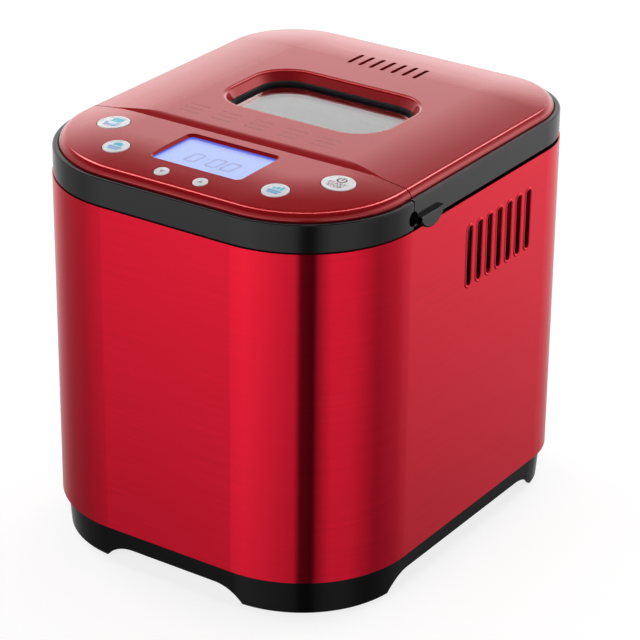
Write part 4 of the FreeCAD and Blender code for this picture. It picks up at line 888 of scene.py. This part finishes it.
class BREAD_OT_program_marks(bpy.types.Operator):
    """Numbered bars printed between the lid's front edge and its window"""

    bl_idname = "bread.program_marks"
    bl_label = "Print the numbered bars"

    columns: IntProperty(name="Columns", description="Columns of numbered bars", default=5, min=1)
    rows: IntProperty(name="Rows", description="Rows of numbered bars", default=3, min=1)

    column_step = 25.9 * MM
    column_shift = -6.2 * MM
    row_step = 6.4 * MM
    front_gap = 19.8 * MM
    figure_height = 3.6 * MM
    bar_length = 11.0 * MM
    bar_width = 0.7 * MM
    # How far left of its place a figure stands and a bar starts, in bar lengths
    figure_back = 0.72
    bar_back = 0.45

    def execute(self, context):
        _, detail, _ = settings()
        patches = []
        for column in range(self.columns):
            for row in range(self.rows):
                x = self.column_shift + (column - (self.columns - 1) / 2) * self.column_step
                y = COVER_LOW.y + self.front_gap + (self.rows - 1 - row) * self.row_step
                number = str(column * self.rows + row + 1)
                figure_x = x - self.bar_length * self.figure_back
                figure, faces = text_patch(number, self.figure_height, (figure_x, y))
                patches.append((figure + np.array([0.0, 0.0, TOP]), faces))
                start = (x - self.bar_length * self.bar_back, y)
                bar = bar_outline(start, (start[0] + self.bar_length, y), self.bar_width)
                patches.append(prism_patch(bar, TOP - detail.mark_lift / 2, TOP + detail.mark_lift / 2))
        add_piece("program_marks", patches, finish_named("print_ink"), "lid")
        return {"FINISHED"}


class BREAD_OT_stage(bpy.types.Operator):
    """Floor, soft lights, world and camera"""

    bl_idname = "bread.stage"
    bl_label = "Set the stage"

    # Brightness of the room under the horizon by bearing, in degrees from the front towards the right
    room = (
        (-180, 0.85), (-130, 0.9), (-90, 0.45), (-60, 0.5), (-37, 0.82), (-36, 1.15), (-20, 1.3), (-3, 1.15),
        (27, 0.8), (32, 0.13), (44, 0.06), (48, 0.45), (60, 1.0), (80, 0.95), (105, 0.45), (130, 0.6),
        (147, 0.88), (180, 0.8),
    )
    # How fast that brightness rises with the height of a direction, by bearing; the depth at which it holds;
    # the range of the rise, and the shares of the brightness at the range's ends
    room_fade = ((-180, 5.0), (-60, 5.0), (-37.5, 9.5), (-34, 4.0), (80, 3.6), (130, 7.0), (180, 7.0))
    room_level = 0.435
    rise_range = (0.2, 1.8)
    rise_shares = (0.13, 1.17)
    # Brightness of the sky by the height of a direction, from the horizon at nought to straight up at one
    sky = ((0.0, 1.5), (0.15, 1.65), (0.3, 1.45), (0.4, 0.9), (0.5, 0.42), (0.6, 0.12), (1.0, 0.1))
    # Share of that sky by bearing: full behind the machine, dim in front of it
    sky_side = ((-180, 1.0), (-125, 1.0), (-85, 0.35), (85, 0.35), (125, 1.0), (180, 1.0))
    # Heights of a direction between which the room gives way to the sky
    horizon = (-0.02, 0.06)
    # Arched strip light overhead: its level circle's middle and radius, half width, soft edge in half widths,
    # open end, distances from that end between which it comes up, and brightness
    strip_middle = (-0.253, 0.374, 0.0)
    strip_r = 0.4515
    strip_half = 0.06
    strip_edge = (0.6, 1.4)
    strip_end = (-0.506, 0.748, 0.0)
    strip_rise = (0.35, 0.50)
    strip_light = 6.0
    # Level that a full mark of a ramp stands for
    brightest = 10.0
    # Soft boxes: place, side and power
    soft_boxes = {
        "rear_box": ((-0.3, 1.3, 1.7), 1.2, 6.0),
        "front_box": ((-0.5, -1.9, 1.0), 1.2, 9.0),
    }
    floor_points = 9

    def execute(self, context):
        _, _, stage = settings()
        self.floor(stage)
        self.world()
        self.lamps()
        self.camera(stage)
        context.scene.view_settings.view_transform = "Standard"
        return {"FINISHED"}

    def floor(self, stage):
        """Level square, white to camera and transmitted rays, unseen by reflections, taking the shadow."""
        count = self.floor_points
        side = np.linspace(-stage.floor_size / 2, stage.floor_size / 2, count)
        x, y = np.meshgrid(side, side)
        points = np.stack([x, y, np.zeros_like(x)], -1)
        mesh = bpy.data.meshes.new("floor")
        mesh.from_pydata(points.reshape(-1, 3).tolist(), [], grid_faces(count, count, False, False))
        floor = bpy.data.objects.new("floor", mesh)
        floor.visible_glossy = False
        bpy.context.scene.collection.objects.link(floor)
        material, tree, shader = new_material("floor", Roughness=0.9, Specular_IOR_Level=0.0)
        shader.inputs["Base Color"].default_value = (*stage.floor_pale, 1.0)
        shader.inputs["Emission Color"].default_value = (1.0, 1.0, 1.0, 1.0)
        glow = maths(tree, "MULTIPLY", self.seen_rays(tree), stage.floor_glow)
        tree.links.new(glow, shader.inputs["Emission Strength"])
        mesh.materials.append(material)

    def seen_rays(self, tree):
        """One for camera and transmitted rays, else nothing."""
        path = add_node(tree, "ShaderNodeLightPath")
        return maths(tree, "MAXIMUM", path.outputs["Is Camera Ray"], path.outputs["Is Transmission Ray"])

    def light_ramp(self, tree, place, stops):
        """Brightness read off a list of places between nought and one and their values."""
        ramp = add_node(tree, "ShaderNodeValToRGB")
        tree.links.new(place, ramp.inputs["Fac"])
        marks = ramp.color_ramp.elements
        while len(marks) < len(stops):
            marks.new(0.5)
        for mark, (position, light) in zip(marks, stops):
            mark.position = position
            mark.color = (*[light / self.brightest] * 3, 1.0)
        return maths(tree, "MULTIPLY", ramp.outputs["Color"], self.brightest)

    def by_bearing(self, tree, turn, stops):
        """Value read off a list of bearings in degrees and their values."""
        return self.light_ramp(tree, turn, [(degrees / 360 + 0.5, value) for degrees, value in stops])

    def world(self):
        """White to camera and transmitted rays; to others a room by bearing, with a sky over the horizon."""
        world = bpy.data.worlds.new("studio")
        bpy.context.scene.world = world
        world.use_nodes = True
        tree = world.node_tree
        parts = add_node(tree, "ShaderNodeSeparateXYZ")
        tree.links.new(add_node(tree, "ShaderNodeTexCoord").outputs["Generated"], parts.inputs["Vector"])
        front = maths(tree, "MULTIPLY", parts.outputs["Y"], -1.0)
        bearing = maths(tree, "ARCTAN2", parts.outputs["X"], front)
        turn = remapped(tree, bearing, -math.pi, math.pi, 0.0, 1.0)
        room = self.by_bearing(tree, turn, self.room)
        fade = self.by_bearing(tree, turn, self.room_fade)
        depth = maths(tree, "ADD", parts.outputs["Z"], self.room_level)
        rise = maths(tree, "ADD", maths(tree, "MULTIPLY", fade, depth), 1.0)
        room = maths(tree, "MULTIPLY", room, remapped(tree, rise, *self.rise_range, *self.rise_shares))
        side = self.by_bearing(tree, turn, self.sky_side)
        sky = maths(tree, "MULTIPLY", self.light_ramp(tree, parts.outputs["Z"], self.sky), side)
        sky = maths(tree, "ADD", sky, self.strip(tree, parts))
        above = remapped(tree, parts.outputs["Z"], *self.horizon, 0.0, 1.0)
        light = self.between(tree, above, room, sky)
        light = self.between(tree, self.seen_rays(tree), light, 1.0)
        tree.links.new(light, tree.nodes["Background"].inputs["Strength"])
        tree.nodes["Background"].inputs["Color"].default_value = (1.0, 1.0, 1.0, 1.0)

    def strip(self, tree, parts):
        """Arched light: bright where a direction's level part lies on a circle, dark at its open end."""
        level = add_node(tree, "ShaderNodeCombineXYZ")
        tree.links.new(parts.outputs["X"], level.inputs["X"])
        tree.links.new(parts.outputs["Y"], level.inputs["Y"])
        reaches = []
        for place in (self.strip_middle, self.strip_end):
            reach = add_node(tree, "ShaderNodeVectorMath", operation="DISTANCE")
            reach.inputs[1].default_value = place
            tree.links.new(level.outputs["Vector"], reach.inputs[0])
            reaches.append(reach.outputs["Value"])
        off = maths(tree, "ABSOLUTE", maths(tree, "SUBTRACT", reaches[0], self.strip_r), 0.0)
        inner, outer = [share * self.strip_half for share in self.strip_edge]
        ring = remapped(tree, off, inner, outer, self.strip_light, 0.0)
        return maths(tree, "MULTIPLY", ring, remapped(tree, reaches[1], *self.strip_rise, 0.0, 1.0))

    def between(self, tree, share, first, second):
        """Value that runs from a first to a second with a share."""
        mix = add_node(tree, "ShaderNodeMix", data_type="FLOAT")
        for socket, value in zip(mix.inputs, (share, None, first, second)):
            if isinstance(value, float):
                socket.default_value = value
            elif value is not None:
                tree.links.new(value, socket)
        return mix.outputs["Result"]

    def lamps(self):
        """Large soft boxes high behind and in front, unseen by reflections."""
        aim = Vector((0.0, 0.0, TOP / 2))
        for name, (place, size, power) in self.soft_boxes.items():
            light = bpy.data.lights.new(name, "AREA")
            light.size = size
            light.energy = power
            lamp = bpy.data.objects.new(name, light)
            lamp.location = place
            lamp.rotation_euler = (aim - Vector(place)).to_track_quat("-Z", "Y").to_euler()
            lamp.visible_glossy = False
            bpy.context.scene.collection.objects.link(lamp)

    def camera(self, stage):
        """Camera turned by azimuth and elevation, then leant by its roll."""
        camera = bpy.data.cameras.new("camera")
        camera.lens = stage.camera_lens
        camera.sensor_width = 36.0
        camera.clip_start = 0.01
        camera.clip_end = 100.0
        holder = bpy.data.objects.new("camera", camera)
        tilt = Matrix.Rotation(math.pi / 2 - stage.camera_elevation, 4, "X")
        turn = Matrix.Rotation(stage.camera_azimuth, 4, "Z")
        roll = Matrix.Rotation(stage.camera_roll, 4, "Z")
        holder.matrix_world = Matrix.Translation(stage.camera_place) @ turn @ tilt @ roll
        bpy.context.scene.collection.objects.link(holder)
        bpy.context.scene.camera = holder


class BREAD_PT_sidebar(bpy.types.Panel):
    """Steps and settings of the bread machine"""

    bl_idname = "BREAD_PT_sidebar"
    bl_label = "Bread machine"
    bl_space_type = "VIEW_3D"
    bl_region_type = "UI"
    bl_category = "Bread machine"

    def draw(self, context):
        for step in STEPS:
            self.layout.operator(step.bl_idname)
        for group in settings():
            box = self.layout.box()
            for name in group.__annotations__:
                box.prop(group, name)


STEPS = [
    BREAD_OT_finishes, BREAD_OT_vent_lips, BREAD_OT_button_caps, BREAD_OT_button_icons, BREAD_OT_display,
    BREAD_OT_program_marks, BREAD_OT_stage,
]
CLASSES = [FinishSettings, DetailSettings, StageSettings] + STEPS + [BREAD_PT_sidebar]


def register():
    """Add the classes and hang the settings on the scene."""
    for item in CLASSES:
        bpy.utils.register_class(item)
    bpy.types.Scene.bread_finish = PointerProperty(type=FinishSettings)
    bpy.types.Scene.bread_detail = PointerProperty(type=DetailSettings)
    bpy.types.Scene.bread_stage = PointerProperty(type=StageSettings)


def unregister():
    """Take the settings and the classes away again."""
    del bpy.types.Scene.bread_stage
    del bpy.types.Scene.bread_detail
    del bpy.types.Scene.bread_finish
    for item in reversed(CLASSES):
        bpy.utils.unregister_class(item)


def main():
    """Dress the machine step by step."""
    register()
    bpy.ops.bread.finishes()
    bpy.ops.bread.vent_lips()
    bpy.ops.bread.button_caps()
    bpy.ops.bread.button_icons()
    bpy.ops.bread.display()
    bpy.ops.bread.program_marks()
    bpy.ops.bread.stage()


if __name__ == "__main__":
    main()
